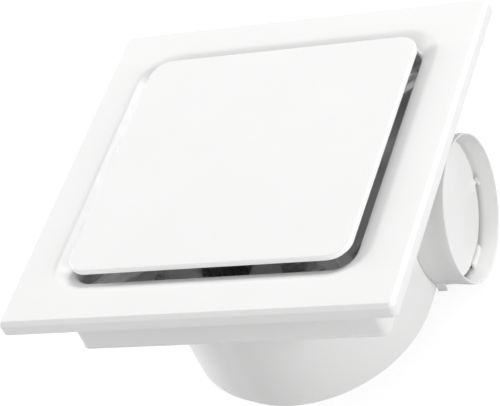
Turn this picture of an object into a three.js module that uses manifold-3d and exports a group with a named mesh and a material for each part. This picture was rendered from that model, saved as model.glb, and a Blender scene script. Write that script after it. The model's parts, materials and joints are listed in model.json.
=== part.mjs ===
// Square flush-mounted exhaust fan with a scroll casing and a round side spigot.
// Millimetres. +Z points out of the fascia towards the room, +X towards the spigot,
// and z = 0 is the lowest point of the fan when it lies on its back.
import * as THREE from "three";
import { mergeVertices } from "three/addons/utils/BufferGeometryUtils.js";
import Module from "manifold-3d";

const wasm = await Module();
wasm.setup();

// ---------------------------------------------------------------- driving sizes

const FIT = 0.3; // clearance between neighbouring pieces
const OVERLAP = 0.6; // how far a rib or boss is sunk into the wall that it grows from

// Fascia: a square frame with a bevelled edge, whose front rolls down into the recess
const FASCIA_SIDE = 335;
const FASCIA_THICK = 12.8;
const FASCIA_BEVEL = 3;
const FASCIA_CORNER = 5;
const FASCIA_SKIN = 2.4;
const ROLL_REACH = 18; // how far the rolled rim runs in under the panel's edge
const ROLL_DROP = 11; // how far it comes down on the way
const SKIRT_WALL = 2.2;
const SKIRT_DEPTH = 37; // from the fascia's front down to the skirt's edge
const SKIRT_FIT = 0.8; // clearance between the skirt and the housing's walls

// Front panel: a shallow tray that covers the inlet
const PANEL_SIDE = 242;
const PANEL_CORNER = 18;
const PANEL_EDGE = 4.8;
const PANEL_PROUD = 7.4;
const PANEL_ROUND = 1.5;
const PANEL_CROWN = 0.8;
const PANEL_SKIN = 2.2;
const RIM_INSET = 17.5; // from the start of the rolled rim to the panel's edge
const POST_PITCH = 172; // spacing of the four snap posts
const POST_RADIUS = 4;
const POST_LENGTH = 38.1;
const SOCKET_RADIUS = 7.2;
const BRACKET_WIDTH = 20;
const BRACKET_THICK = 2.5;
const BRACKET_LIFT = 8; // from the skirt's edge up to the brackets
const BRACKET_TAB = 2.5; // how far a bracket's tab passes through the skirt
const TAB_STEP = 4; // the tab is this much narrower than the bracket on each side

// Body: the square box behind the fascia
const BODY_SIDE = 268;
const BODY_CORNER = 12;
const BODY_WALL = 2.2;
const BODY_REACH = 55.7; // from the ceiling plane down to the box's underside
const BODY_RECESS = 7.5; // from the ceiling plane down to the box's rim
const FLOOR_THICK = 2.5;
const FLOOR_EDGE = 0.8; // the floor's edge stands proud of the walls by this
const PILLAR_PITCH = 224;
const PILLAR_RADIUS = 5.5;
const FIXING_PITCH = 180;
const FIXING_RADIUS = 2.75;

// Scroll casing and the wheel's axis
const AXIS_X = -2.2;
const AXIS_Y = -6.9;
const DRUM_RADIUS = 100.5;
const DRUM_DEPTH = 109.2;
const SCROLL_START = -110; // degrees, where the round wall turns into the scroll
const CASE_WALL = 2.2;
const MOTOR_OPENING = 60;
const TROUGH_LENGTH = 30; // the outlet pipe runs this far into the casing
const TROUGH_DOME = 18;

// Spigot for a round duct, with its back-draft flap
const SPIGOT_DIAMETER = 125;
const SPIGOT_TUBE_STEP = 1.1; // the mouth's collar stands proud of the tube by this
const SPIGOT_WALL = 1.6;
const SPIGOT_LENGTH = 31.3;
const SPIGOT_COLLAR = 9;
const SPIGOT_CLEAR = 8.6; // between the spigot and the box's underside
const SPIGOT_INSET = 3.5; // from the box's side to the spigot's side
const SLEEVE_DEPTH = 8;
const FLAP_RECESS = 16;
const FLAP_THICK = 1.8;
const FLAP_GAP = 2.1; // between the flap's edge and the tube
const FLAP_PIVOT = 21.8; // from the tube's axis to the flap's pivot
const PIN_RADIUS = 1.5;
const LUG_LENGTH = 8.4;
const LUG_WIDTH = 8;

// Wheel: a squirrel-cage impeller with forward-curved blades
const WHEEL_CLEAR = 14.3; // between the wheel and the casing's round wall
const BLADE_COUNT = 30;
const BLADE_CHORD = 15;
const BLADE_THICK = 1.1;
const WHEEL_BOTTOM = 21.6; // from the drum's end up to the wheel's back plate
const WHEEL_HEIGHT = 67;
const WHEEL_PLATE = 2;
const THROAT_STEP = 14; // the throat is this much smaller than the wheel
const BELL_ROUND = 16;
const BELL_WALL = 2;
const BELL_FLANGE = 8.5;

// Motor
const MOTOR_RADIUS = 38;
const CAN_WALL = 1.2;
const STATOR_LENGTH = 18;
const ROTOR_RADIUS = 20.2;
const SHAFT_RADIUS = 4;
const BEARING_RADIUS = 11.3;
const BEARING_WIDTH = 6;
const MOTOR_LENGTH = 42.9;
const MOTOR_LIFT = 6.1; // from the drum's end up to the motor
const MOTOR_EAR_REACH = 9; // from the motor's case out to the mounting screws
const MOTOR_PLATE_RADIUS = 68;
const MOTOR_PLATE_THICK = 2.2;
const PLATE_SCREW_ANGLE = 20;
const POCKET_RADIUS = 24; // pressed pocket that clears the motor's rear bearing
const POCKET_DEPTH = 7;
const POCKET_FLARE = 6;

// Terminal box, in the corner that the scroll leaves free
const TERMINAL_WIDTH = 34;
const TERMINAL_LENGTH = 43;
const TERMINAL_HEIGHT = 30;
const TERMINAL_WALL = 1.8;
const GLAND_RADIUS = 7;
const GLAND_LENGTH = 12;

// Screws
const SCREW_SHANK = 1.9;
const SCREW_HEAD = 4;
const SCREW_HEAD_HEIGHT = 2.6;
const SCREW_LENGTH = 12;

// ---------------------------------------------------------------- derived levels

const SPIGOT_RADIUS = SPIGOT_DIAMETER / 2;
const Z_SPIGOT = SPIGOT_RADIUS;
const Z_BODY = SPIGOT_DIAMETER + SPIGOT_CLEAR;
const Z_FLOOR = Z_BODY + FLOOR_THICK;
const Z_CEILING = Z_BODY + BODY_REACH;
const Z_FRONT = Z_CEILING + FASCIA_THICK;
const Z_END = Z_BODY - DRUM_DEPTH;
const Z_SKIRT_EDGE = Z_FRONT - SKIRT_DEPTH;
const Z_PANEL = Z_FRONT + PANEL_PROUD;
const Z_BRACKET = Z_SKIRT_EDGE + BRACKET_LIFT;
const Z_HOUSING_RIM = Z_CEILING - BODY_RECESS;

const BODY_HALF = BODY_SIDE / 2;
const RIM_HALF = PANEL_SIDE / 2 + RIM_INSET;
const SKIRT_OUT = BODY_HALF - BODY_WALL - FIT - SKIRT_FIT;
const SKIRT_IN = SKIRT_OUT - SKIRT_WALL;
const OUTLET_X = AXIS_X + DRUM_RADIUS + 0.4;
const PIPE_RADIUS = SPIGOT_RADIUS - SPIGOT_TUBE_STEP;
const SPIGOT_Y = BODY_HALF - SPIGOT_INSET - SPIGOT_RADIUS;
const SCROLL_TOP = SPIGOT_Y + PIPE_RADIUS + 0.2;
const WHEEL_RADIUS = DRUM_RADIUS - CASE_WALL - WHEEL_CLEAR;
const THROAT_RADIUS = WHEEL_RADIUS - THROAT_STEP;
const MOTOR_EAR_RADIUS = MOTOR_RADIUS + MOTOR_EAR_REACH;

// ---------------------------------------------------------------- materials

const plastic = (color, roughness) => new THREE.MeshStandardMaterial({ color, roughness, metalness: 0 });
const metal = (color, roughness) => new THREE.MeshStandardMaterial({ color, roughness, metalness: 0.9 });
const WHITE = plastic(0xf6f6f4, 0.38);
const CASING_WHITE = plastic(0xf0f0ee, 0.45);
const WHEEL_GREY = plastic(0xdadcdc, 0.5);
const RUBBER = plastic(0x2a2a2c, 0.9);
const TERMINAL_GREY = plastic(0xc9cccd, 0.55);
const STEEL = metal(0xb9bcc0, 0.35);
const LAMINATION = metal(0x6f7276, 0.6);
const COPPER = metal(0xb8703c, 0.4);
const ZINC = metal(0xd0d3d6, 0.3);

// ---------------------------------------------------------------- geometry helpers

const radians = (degrees) => (degrees * Math.PI) / 180;

// Position-only geometry with shared corners and its faces pointing out
function bare(geometry) {
  const source = new THREE.BufferGeometry();
  source.setAttribute("position", geometry.getAttribute("position"));
  if (geometry.index) source.setIndex(geometry.index);
  const welded = mergeVertices(source, 1e-4);
  const p = welded.getAttribute("position");
  const index = welded.index.array;
  const [a, b, c] = [new THREE.Vector3(), new THREE.Vector3(), new THREE.Vector3()];
  let volume = 0;
  for (let i = 0; i < index.length; i += 3) {
    a.fromBufferAttribute(p, index[i]);
    b.fromBufferAttribute(p, index[i + 1]);
    c.fromBufferAttribute(p, index[i + 2]);
    volume += a.dot(b.cross(c));
  }
  if (volume < 0) index.reverse();
  return welded;
}

function toSolid(geometry) {
  const g = bare(geometry);
  return new wasm.Manifold(new wasm.Mesh({
    numProp: 3,
    vertProperties: new Float32Array(g.getAttribute("position").array),
    triVerts: new Uint32Array(g.index.array),
  }));
}

function toGeometry(solid) {
  const mesh = solid.getMesh();
  const g = new THREE.BufferGeometry();
  g.setAttribute("position", new THREE.BufferAttribute(new Float32Array(mesh.vertProperties), 3));
  g.setIndex(new THREE.BufferAttribute(new Uint32Array(mesh.triVerts), 1));
  return g;
}

function join(...geometries) {
  const [first, ...rest] = geometries.map(toSolid);
  return toGeometry(rest.reduce((sum, part) => sum.add(part), first));
}

function cut(geometry, ...tools) {
  return toGeometry(tools.map(toSolid).reduce((rest, tool) => rest.subtract(tool), toSolid(geometry)));
}

const common = (a, b) => toGeometry(toSolid(a).intersect(toSolid(b)));

// Upright cylinder from z0 to z1
function rod(radius, z0, z1, x = 0, y = 0, sides = 16) {
  const g = new THREE.CylinderGeometry(radius, radius, z1 - z0, sides);
  return g.rotateX(Math.PI / 2).translate(x, y, (z0 + z1) / 2);
}

function block(x0, x1, y0, y1, z0, z1) {
  const g = new THREE.BoxGeometry(x1 - x0, y1 - y0, z1 - z0);
  return g.translate((x0 + x1) / 2, (y0 + y1) / 2, (z0 + z1) / 2);
}

// Body turned about the Z axis from a closed outline of [radius, z] points
function turned(outline, sides = 24) {
  const points = [...outline, outline[0]].map(([r, z]) => new THREE.Vector2(r, z));
  return new THREE.LatheGeometry(points, sides).rotateX(Math.PI / 2);
}

const ring = (inner, outer, z0, z1, sides = 24) =>
  turned([[inner, z0], [outer, z0], [outer, z1], [inner, z1]], sides);

function extruded(shape, z0, z1, curveSegments = 8) {
  const g = new THREE.ExtrudeGeometry(shape, { depth: z1 - z0, bevelEnabled: false, curveSegments });
  return g.translate(0, 0, z0);
}

// Points of a square with rounded corners, counter-clockwise from the +X side
function squareLoop(half, corner, z, steps) {
  const points = [];
  for (let quarter = 0; quarter < 4; quarter += 1) {
    const centre = radians(45 + 90 * quarter);
    const cx = Math.sign(Math.cos(centre)) * (half - corner);
    const cy = Math.sign(Math.sin(centre)) * (half - corner);
    for (let i = 0; i <= steps; i += 1) {
      const angle = radians(90 * quarter + (90 * i) / steps);
      points.push(new THREE.Vector3(cx + corner * Math.cos(angle), cy + corner * Math.sin(angle), z));
    }
  }
  return points;
}

function squareShape(half, corner, steps = 6) {
  return new THREE.Shape(squareLoop(half, corner, 0, steps).map((p) => new THREE.Vector2(p.x, p.y)));
}

// Skin over a stack of loops with equal point counts: a ring where the stack closes on
// itself, or a solid whose first and last loops are filled
function lofted(loops, closed) {
  const n = loops[0].length;
  const positions = loops.flat().flatMap((p) => [p.x, p.y, p.z]);
  const index = [];
  const last = closed ? loops.length : loops.length - 1;
  for (let i = 0; i < last; i += 1) {
    const a = i * n;
    const b = ((i + 1) % loops.length) * n;
    for (let j = 0; j < n; j += 1) {
      const k = (j + 1) % n;
      index.push(a + j, a + k, b + k, a + j, b + k, b + j);
    }
  }
  if (!closed) {
    const fill = (start, flip) => {
      for (let j = 1; j < n - 1; j += 1) {
        index.push(start, start + (flip ? j + 1 : j), start + (flip ? j : j + 1));
      }
    };
    fill(0, true);
    fill((loops.length - 1) * n, false);
  }
  const g = new THREE.BufferGeometry();
  g.setAttribute("position", new THREE.Float32BufferAttribute(positions, 3));
  g.setIndex(index);
  return g;
}

const fan = new THREE.Group();

function add(name, geometry, material, parent = fan) {
  const mesh = new THREE.Mesh(bare(geometry), material);
  mesh.name = name;
  parent.add(mesh);
  return mesh;
}

const CORNERS = [[1, 1], [-1, 1], [-1, -1], [1, -1]];

// Places at equal angles round a circle
function around(count, radius, first = 0) {
  return Array.from({ length: count }, (_, i) => {
    const angle = radians(first + (360 * i) / count);
    return [radius * Math.cos(angle), radius * Math.sin(angle)];
  });
}

// Pan-head screw whose head stands on z = 0 and whose shank points down
function screw(length = SCREW_LENGTH, shank = SCREW_SHANK, head = SCREW_HEAD) {
  return turned([[0, -length], [shank, -length + 1], [shank, 0], [head, 0],
    [head * 0.85, SCREW_HEAD_HEIGHT * 0.7], [0, SCREW_HEAD_HEIGHT]], 8);
}

// ---------------------------------------------------------------- fascia

// Corner of a loop that keeps the same distance from the panel all the way round
const recessCorner = (half) => PANEL_CORNER + half - PANEL_SIDE / 2;

// Distance from the middle to a round corner, along the diagonal
const diagonal = (half, corner) => Math.SQRT2 * (half - corner) + corner;

// Points [half, z] of the rolled rim, a quarter of an ellipse drawn in by the wall, between
// two distances from the middle
function rolledRim(inset, from, to, steps) {
  const reach = ROLL_REACH - inset;
  const drop = ROLL_DROP - inset;
  return Array.from({ length: steps + 1 }, (_, i) => {
    const first = Math.asin((RIM_HALF - from) / reach);
    const angle = first + ((Math.asin((RIM_HALF - to) / reach) - first) * i) / steps;
    return [RIM_HALF - reach * Math.sin(angle), Z_FRONT - ROLL_DROP + drop * Math.cos(angle)];
  });
}

function fasciaFrame() {
  const steps = 5;
  const outer = FASCIA_SIDE / 2;
  const section = [];
  const edge = (half, z) =>
    section.push(squareLoop(half, Math.max(1, FASCIA_CORNER - outer + half), z, steps));
  const recess = ([half, z]) => section.push(squareLoop(half, recessCorner(half), z, steps));
  edge(outer, Z_CEILING);
  edge(outer, Z_FRONT - FASCIA_BEVEL);
  edge(outer - FASCIA_BEVEL, Z_FRONT);
  rolledRim(0, RIM_HALF, RIM_HALF - ROLL_REACH, 6).forEach(recess);
  // the hidden side follows the rim one wall behind it, and the skirt hangs from it
  rolledRim(SKIRT_WALL, RIM_HALF - ROLL_REACH + SKIRT_WALL, SKIRT_IN, 2).forEach(recess);
  recess([SKIRT_IN, Z_SKIRT_EDGE]);
  recess([SKIRT_OUT, Z_SKIRT_EDGE]);
  rolledRim(SKIRT_WALL, SKIRT_OUT, RIM_HALF, 1).forEach(recess);
  edge(outer - FASCIA_SKIN - 1, Z_FRONT - SKIRT_WALL);
  edge(outer - FASCIA_SKIN, Z_FRONT - FASCIA_BEVEL - 1);
  edge(outer - FASCIA_SKIN, Z_CEILING);
  const half = BRACKET_WIDTH / 2 - TAB_STEP + FIT;
  const slots = CORNERS.map(([sx, sy]) => block(diagonal(SKIRT_IN, recessCorner(SKIRT_IN)) - 3,
    diagonal(SKIRT_OUT, recessCorner(SKIRT_OUT)) + 3, -half, half,
    Z_BRACKET - FIT, Z_BRACKET + BRACKET_THICK + FIT).rotateZ(Math.atan2(sy, sx)));
  return cut(lofted(section, true), ...slots);
}

// Bracket screwed to a corner pillar: it carries a panel socket, and its tab passes through
// a slot in the skirt and holds the fascia
function panelBracket(sx, sy) {
  const inner = (POST_PITCH / 2) * Math.SQRT2;
  const pillar = (PILLAR_PITCH / 2) * Math.SQRT2;
  const corner = recessCorner(SKIRT_IN);
  const half = BRACKET_WIDTH / 2;
  const shoulder = Math.SQRT2 * (SKIRT_IN - corner) + Math.sqrt(corner ** 2 - half ** 2) - FIT;
  const tip = diagonal(SKIRT_OUT, recessCorner(SKIRT_OUT)) + BRACKET_TAB;
  const z1 = Z_BRACKET + BRACKET_THICK;
  const arm = block(inner, shoulder, -half, half, Z_BRACKET, z1);
  const tab = block(shoulder - OVERLAP, tip, TAB_STEP - half, half - TAB_STEP, Z_BRACKET, z1);
  const end = rod(half + 2, Z_BRACKET, z1, inner, 0, 12);
  const rib = block(inner + SOCKET_RADIUS + 4, pillar - SCREW_HEAD - 2, -1, 1, z1 - OVERLAP, z1 + 4);
  const socketHole = rod(SOCKET_RADIUS - 2 + FIT, Z_BRACKET - 1, z1 + 1, inner, 0, 12);
  const screwHole = rod(SCREW_SHANK + FIT, Z_BRACKET - 1, z1 + 1, pillar, 0, 8);
  return cut(join(arm, tab, end, rib), socketHole, screwHole).rotateZ(Math.atan2(sy, sx));
}

// Soft bush that grips a post: it hooks over both sides of the bracket
function panelSocket() {
  const bore = POST_RADIUS + FIT;
  const neck = SOCKET_RADIUS - 2;
  return turned([[bore, -1.8], [SOCKET_RADIUS, -1.8], [SOCKET_RADIUS, -FIT], [neck, -FIT],
    [neck, BRACKET_THICK + FIT], [SOCKET_RADIUS, BRACKET_THICK + FIT],
    [SOCKET_RADIUS - 1, BRACKET_THICK + 2.4], [bore, BRACKET_THICK + 2.4]], 12);
}

// ---------------------------------------------------------------- front panel

function frontPanel() {
  const steps = 5;
  const half = PANEL_SIDE / 2;
  const bottom = Z_PANEL - PANEL_CROWN - PANEL_EDGE;
  const roundTop = bottom + PANEL_EDGE;
  const outside = [squareLoop(half, PANEL_CORNER, bottom, steps)];
  for (const angle of [0, 30, 60, 90].map(radians)) {
    const inset = PANEL_ROUND * (1 - Math.cos(angle));
    outside.push(squareLoop(half - inset, PANEL_CORNER - inset,
      roundTop - PANEL_ROUND * (1 - Math.sin(angle)), steps));
  }
  // the face rises in a slight crown towards its middle
  for (const share of [0.65, 0.2]) {
    outside.push(squareLoop(half * share, PANEL_CORNER * share,
      roundTop + PANEL_CROWN * (1 - share * share), steps));
  }
  const tray = cut(lofted(outside, false),
    extruded(squareShape(half - PANEL_SKIN, PANEL_CORNER - PANEL_SKIN, steps), bottom - 1, roundTop - PANEL_SKIN));
  const underside = roundTop - PANEL_SKIN;
  const posts = CORNERS.map(([sx, sy]) => rod(POST_RADIUS, underside - POST_LENGTH, underside + OVERLAP,
    (sx * POST_PITCH) / 2, (sy * POST_PITCH) / 2, 12));
  const ribs = [-1, 1].flatMap((side) => {
    const at = (side * POST_PITCH) / 2;
    const reach = half - PANEL_SKIN + OVERLAP / 2;
    return [block(-reach, reach, at - 1, at + 1, bottom + 1, underside + OVERLAP),
      block(at - 1, at + 1, -reach, reach, bottom + 1, underside + OVERLAP)];
  });
  return join(tray, ...posts, ...ribs);
}

// ---------------------------------------------------------------- body

function bodyHousing() {
  const top = Z_HOUSING_RIM;
  const shell = cut(
    join(extruded(squareShape(BODY_HALF, BODY_CORNER), Z_BODY, top),
      extruded(squareShape(BODY_HALF + FLOOR_EDGE, BODY_CORNER + FLOOR_EDGE), Z_BODY, Z_BODY + 1.4)),
    extruded(squareShape(BODY_HALF - BODY_WALL, BODY_CORNER - BODY_WALL), Z_FLOOR, top + 1));
  const pillars = CORNERS.map(([sx, sy]) => rod(PILLAR_RADIUS, Z_FLOOR - OVERLAP, Z_BRACKET - FIT,
    (sx * PILLAR_PITCH) / 2, (sy * PILLAR_PITCH) / 2, 12));
  const pilots = CORNERS.map(([sx, sy]) => rod(SCREW_SHANK + FIT, Z_BRACKET - SCREW_LENGTH, Z_BRACKET + 1,
    (sx * PILLAR_PITCH) / 2, (sy * PILLAR_PITCH) / 2, 8));
  const inlet = rod(BELL_OUTER - 7, Z_BODY - 1, Z_FLOOR + 1, AXIS_X, AXIS_Y, 28);
  const floorHoles = [...bellScrewPlaces(), ...casingScrewPlaces()].map(([x, y]) =>
    rod(SCREW_SHANK + FIT, Z_BODY - 1, Z_FLOOR + 1, AXIS_X + x, AXIS_Y + y, 8));
  const wireHole = rod(5, Z_BODY - 1, Z_FLOOR + 1, terminalX(), terminalY() + 12, 12);
  const fixings = [-1, 1].flatMap((side) => [-1, 1].map((end) =>
    new THREE.CylinderGeometry(FIXING_RADIUS, FIXING_RADIUS, BODY_WALL * 3, 10)
      .translate((end * FIXING_PITCH) / 2, side * BODY_HALF, (Z_FLOOR + top) / 2)));
  return cut(join(shell, ...pillars), ...pilots, inlet, ...floorHoles, wireHole, ...fixings);
}

// ---------------------------------------------------------------- inlet ring

const BELL_OUTER = THROAT_RADIUS + BELL_ROUND + BELL_FLANGE;
const bellScrewPlaces = () => around(4, BELL_OUTER - 4.2, 45);

function inletBell() {
  const top = Z_FLOOR + FIT + BELL_WALL;
  const centreR = THROAT_RADIUS + BELL_ROUND;
  const centreZ = top - BELL_ROUND;
  const arc = (radius, from, to) => Array.from({ length: 5 }, (_, i) => {
    const angle = radians(from + ((to - from) * i) / 4);
    return [centreR - radius * Math.cos(angle), centreZ + radius * Math.sin(angle)];
  });
  const lip = Z_END + WHEEL_BOTTOM + WHEEL_HEIGHT + 1.6;
  const outline = [[BELL_OUTER, top - BELL_WALL], [BELL_OUTER, top], ...arc(BELL_ROUND, 90, 0),
    [THROAT_RADIUS, lip], [THROAT_RADIUS + BELL_WALL, lip], ...arc(BELL_ROUND - BELL_WALL, 0, 90)];
  return cut(turned(outline, 28), ...bellScrewPlaces().map(([x, y]) =>
    rod(SCREW_SHANK + FIT, top - 5, top + 5, x, y, 8)));
}

// ---------------------------------------------------------------- scroll casing

const SCROLL_END = -270;
const SCROLL_GROWTH = Math.log((SCROLL_TOP - AXIS_Y) / DRUM_RADIUS) / (SCROLL_START - SCROLL_END);

// Distance from the axis to the casing's outside: a round wall, then a logarithmic spiral
const scrollRadius = (angle) => DRUM_RADIUS * Math.exp(SCROLL_GROWTH * Math.max(0, SCROLL_START - angle));

// Scroll outline, drawn in by the wall for its inside, with a straight run to the outlet
function scrollShape(inset) {
  const shape = new THREE.Shape();
  shape.moveTo(OUTLET_X - inset, SCROLL_TOP - inset);
  shape.lineTo(OUTLET_X - inset, AXIS_Y);
  const steps = 36;
  for (let i = 1; i <= steps; i += 1) {
    const angle = (SCROLL_END * i) / steps;
    const r = scrollRadius(angle) - inset;
    shape.lineTo(AXIS_X + r * Math.cos(radians(angle)), AXIS_Y + r * Math.sin(radians(angle)));
  }
  return shape;
}

// Round outlet pipe along local Z, closed by a dome where it enters the scroll
function outletPipe(radius, front) {
  const dome = Array.from({ length: 5 }, (_, i) => {
    const angle = radians(22.5 * i);
    return [radius * Math.sin(angle), -TROUGH_LENGTH - (TROUGH_DOME - PIPE_RADIUS + radius) * Math.cos(angle)];
  });
  return turned([...dome, [radius, front], [0, front]], 36);
}

const casingScrewPlaces = () => [[OUTLET_X - AXIS_X - CASE_WALL - 4.3, 44],
  ...[-146, -185, -222, -255].map((angle) => {
    const r = scrollRadius(angle) - CASE_WALL - 4.3;
    return [r * Math.cos(radians(angle)), r * Math.sin(radians(angle))];
  })];

function voluteCasing(toSpigot) {
  const top = Z_BODY - FIT;
  const pipe = (radius, front) => outletPipe(radius, front).applyMatrix4(toSpigot);
  const outside = join(extruded(scrollShape(0), Z_END, top), pipe(PIPE_RADIUS, 0));
  const inside = join(extruded(scrollShape(CASE_WALL), Z_END + CASE_WALL, top + 5),
    pipe(PIPE_RADIUS - CASE_WALL, 5));
  const bosses = casingScrewPlaces().map(([x, y]) =>
    rod(4.8, top - 16, top, AXIS_X + x, AXIS_Y + y, 12));
  const pilots = casingScrewPlaces().map(([x, y]) =>
    rod(SCREW_SHANK + FIT, top - 12, top + 1, AXIS_X + x, AXIS_Y + y, 8));
  const opening = rod(MOTOR_OPENING, Z_END - 1, Z_END + CASE_WALL + 1, AXIS_X, AXIS_Y, 28);
  const plateHoles = plateScrewPlaces().map(([x, y]) =>
    rod(SCREW_SHANK + FIT, Z_END - 1, Z_END + CASE_WALL + 1, AXIS_X + x, AXIS_Y + y, 8));
  const shell = cut(outside, inside);
  return cut(join(shell, ...bosses.map((boss) => common(boss, outside))), ...pilots, opening, ...plateHoles);
}

// ---------------------------------------------------------------- motor plate

const plateScrewPlaces = () => around(4, MOTOR_OPENING + 4, PLATE_SCREW_ANGLE);
const motorEarPlaces = () => around(3, MOTOR_EAR_RADIUS, 90);
const Z_MOTOR = Z_END + MOTOR_LIFT;
const Z_EAR = Z_MOTOR + 7.5;
const PLATE_TOP = Z_END - FIT;

function motorPlate() {
  const plate = rod(MOTOR_PLATE_RADIUS, PLATE_TOP - MOTOR_PLATE_THICK, PLATE_TOP, 0, 0, 28);
  const bowl = (radius, z0, z1) =>
    turned([[0, z0], [radius, z0], [radius + POCKET_FLARE, z1], [0, z1]], 18);
  const pocket = bowl(POCKET_RADIUS, PLATE_TOP - POCKET_DEPTH, PLATE_TOP - 1);
  const hollow = bowl(POCKET_RADIUS - 1, PLATE_TOP - POCKET_DEPTH + MOTOR_PLATE_THICK, PLATE_TOP + 1);
  const spigotRing = ring(MOTOR_OPENING - 3, MOTOR_OPENING - 0.6, PLATE_TOP - OVERLAP, PLATE_TOP + CASE_WALL + 1, 28);
  const posts = motorEarPlaces().map(([x, y]) => rod(5.6, PLATE_TOP - OVERLAP, Z_EAR - 1.8, x, y, 12));
  const pilots = motorEarPlaces().map(([x, y]) =>
    rod(SCREW_SHANK + FIT, PLATE_TOP, Z_EAR, x, y, 8));
  const holes = plateScrewPlaces().map(([x, y]) => rod(SCREW_SHANK + FIT, PLATE_TOP - 5, PLATE_TOP + 5, x, y, 8));
  return cut(join(plate, pocket, spigotRing, ...posts), hollow, ...pilots, ...holes);
}

// ---------------------------------------------------------------- motor

const MOTOR_MIDDLE = Z_MOTOR + MOTOR_LENGTH / 2;

// Half of the motor's case: a cup with a bearing pocket, its mouth at z = 0 and its back down
function motorCan(withEars) {
  const back = -MOTOR_LENGTH / 2;
  const shoulder = back + BEARING_WIDTH + CAN_WALL - 0.8;
  const pocket = BEARING_RADIUS + FIT;
  const outline = [[SHAFT_RADIUS + 1.2, back], [pocket + CAN_WALL, back], [pocket + CAN_WALL, shoulder],
    [MOTOR_RADIUS - 2, shoulder], [MOTOR_RADIUS, shoulder + 2], [MOTOR_RADIUS, -FIT / 2],
    [MOTOR_RADIUS - CAN_WALL, -FIT / 2], [MOTOR_RADIUS - CAN_WALL, shoulder + CAN_WALL],
    [pocket, shoulder + CAN_WALL], [pocket, back + CAN_WALL], [SHAFT_RADIUS + 1.2, back + CAN_WALL]];
  const can = turned(outline, 20);
  if (!withEars) return can;
  const z0 = Z_EAR - MOTOR_MIDDLE;
  const ears = motorEarPlaces().map(([x, y]) => {
    const angle = Math.atan2(y, x);
    return block(MOTOR_RADIUS - CAN_WALL + 0.2, MOTOR_EAR_RADIUS, -8, 8, z0, z0 + 1.6).rotateZ(angle);
  });
  const tips = motorEarPlaces().map(([x, y]) => rod(8.6, z0, z0 + 1.6, x, y, 12));
  const holes = motorEarPlaces().map(([x, y]) => rod(5.3, z0 - 1, z0 + 3, x, y, 12));
  const keepOut = rod(MOTOR_RADIUS - CAN_WALL, shoulder + CAN_WALL, 0, 0, 0, 20);
  return cut(join(can, ...ears, ...tips.map((tip) => cut(tip, keepOut))), ...holes);
}

function grommet() {
  const bore = SCREW_SHANK + 1;
  return turned([[bore, -1.5], [7, -1.5], [7, -FIT], [5, -FIT], [5, 1.6 + FIT], [7, 1.6 + FIT],
    [7, 3.1], [bore, 3.1]], 10);
}

// ---------------------------------------------------------------- wheel

function bladeShape() {
  const outer = WHEEL_RADIUS - 0.6;
  const inner = outer - BLADE_CHORD;
  const steps = 3;
  const side = (offset) => Array.from({ length: steps + 1 }, (_, i) => {
    const t = i / steps;
    const r = inner + (outer - inner) * t;
    // forward-curved: the blade leans back at first and sweeps forward at its tip
    const angle = -0.055 * Math.sin(Math.PI * Math.min(1, t * 1.05)) + 0.1 * t * t + offset / r;
    return new THREE.Vector2(r * Math.cos(angle), r * Math.sin(angle));
  });
  return new THREE.Shape([...side(-BLADE_THICK / 2), ...side(BLADE_THICK / 2).reverse()]);
}

function impeller() {
  const plate = Z_END + WHEEL_BOTTOM;
  const top = plate + WHEEL_HEIGHT;
  const crown = MOTOR_MIDDLE + MOTOR_LENGTH / 2 + 6;
  const dish = MOTOR_RADIUS + 8;
  const bore = SHAFT_RADIUS + FIT;
  const disc = turned([[bore, crown - 3], [10, crown - 3], [10, crown], [dish - 5, crown], [dish, plate],
    [WHEEL_RADIUS, plate], [WHEEL_RADIUS, plate + WHEEL_PLATE], [dish + 1.6, plate + WHEEL_PLATE],
    [dish - 3.4, crown + 2], [11, crown + 2], [10, crown + 12], [bore, crown + 12]], 28);
  const band = ring(WHEEL_RADIUS - 4.5, WHEEL_RADIUS, top - 3, top, 28);
  const blade = extruded(bladeShape(), plate + WHEEL_PLATE - OVERLAP, top - 3 + OVERLAP);
  const blades = Array.from({ length: BLADE_COUNT }, (_, i) => blade.clone().rotateZ((2 * Math.PI * i) / BLADE_COUNT));
  return join(disc, band, ...blades);
}

// ---------------------------------------------------------------- spigot and flap

// The spigot's own frame: Z runs out along the tube, X points to the fan's back
const TUBE_SIDES = 36;
const FAR = SPIGOT_DIAMETER; // beyond the tube on every side
const FLAP_FACE = SPIGOT_LENGTH - FLAP_RECESS;
const FLAP_BACK = FLAP_FACE - FLAP_THICK;
const BORE_RADIUS = PIPE_RADIUS - 1.3;
const FLAP_RADIUS = BORE_RADIUS - FLAP_GAP;
const PIVOT_Z = (FLAP_FACE + FLAP_BACK) / 2;
const CHORD = Math.sqrt(FLAP_RADIUS ** 2 - FLAP_PIVOT ** 2);

function alongY(radius, y0, y1, x, z, sides) {
  return new THREE.CylinderGeometry(radius, radius, y1 - y0, sides).translate(x, (y0 + y1) / 2, z);
}

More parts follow.
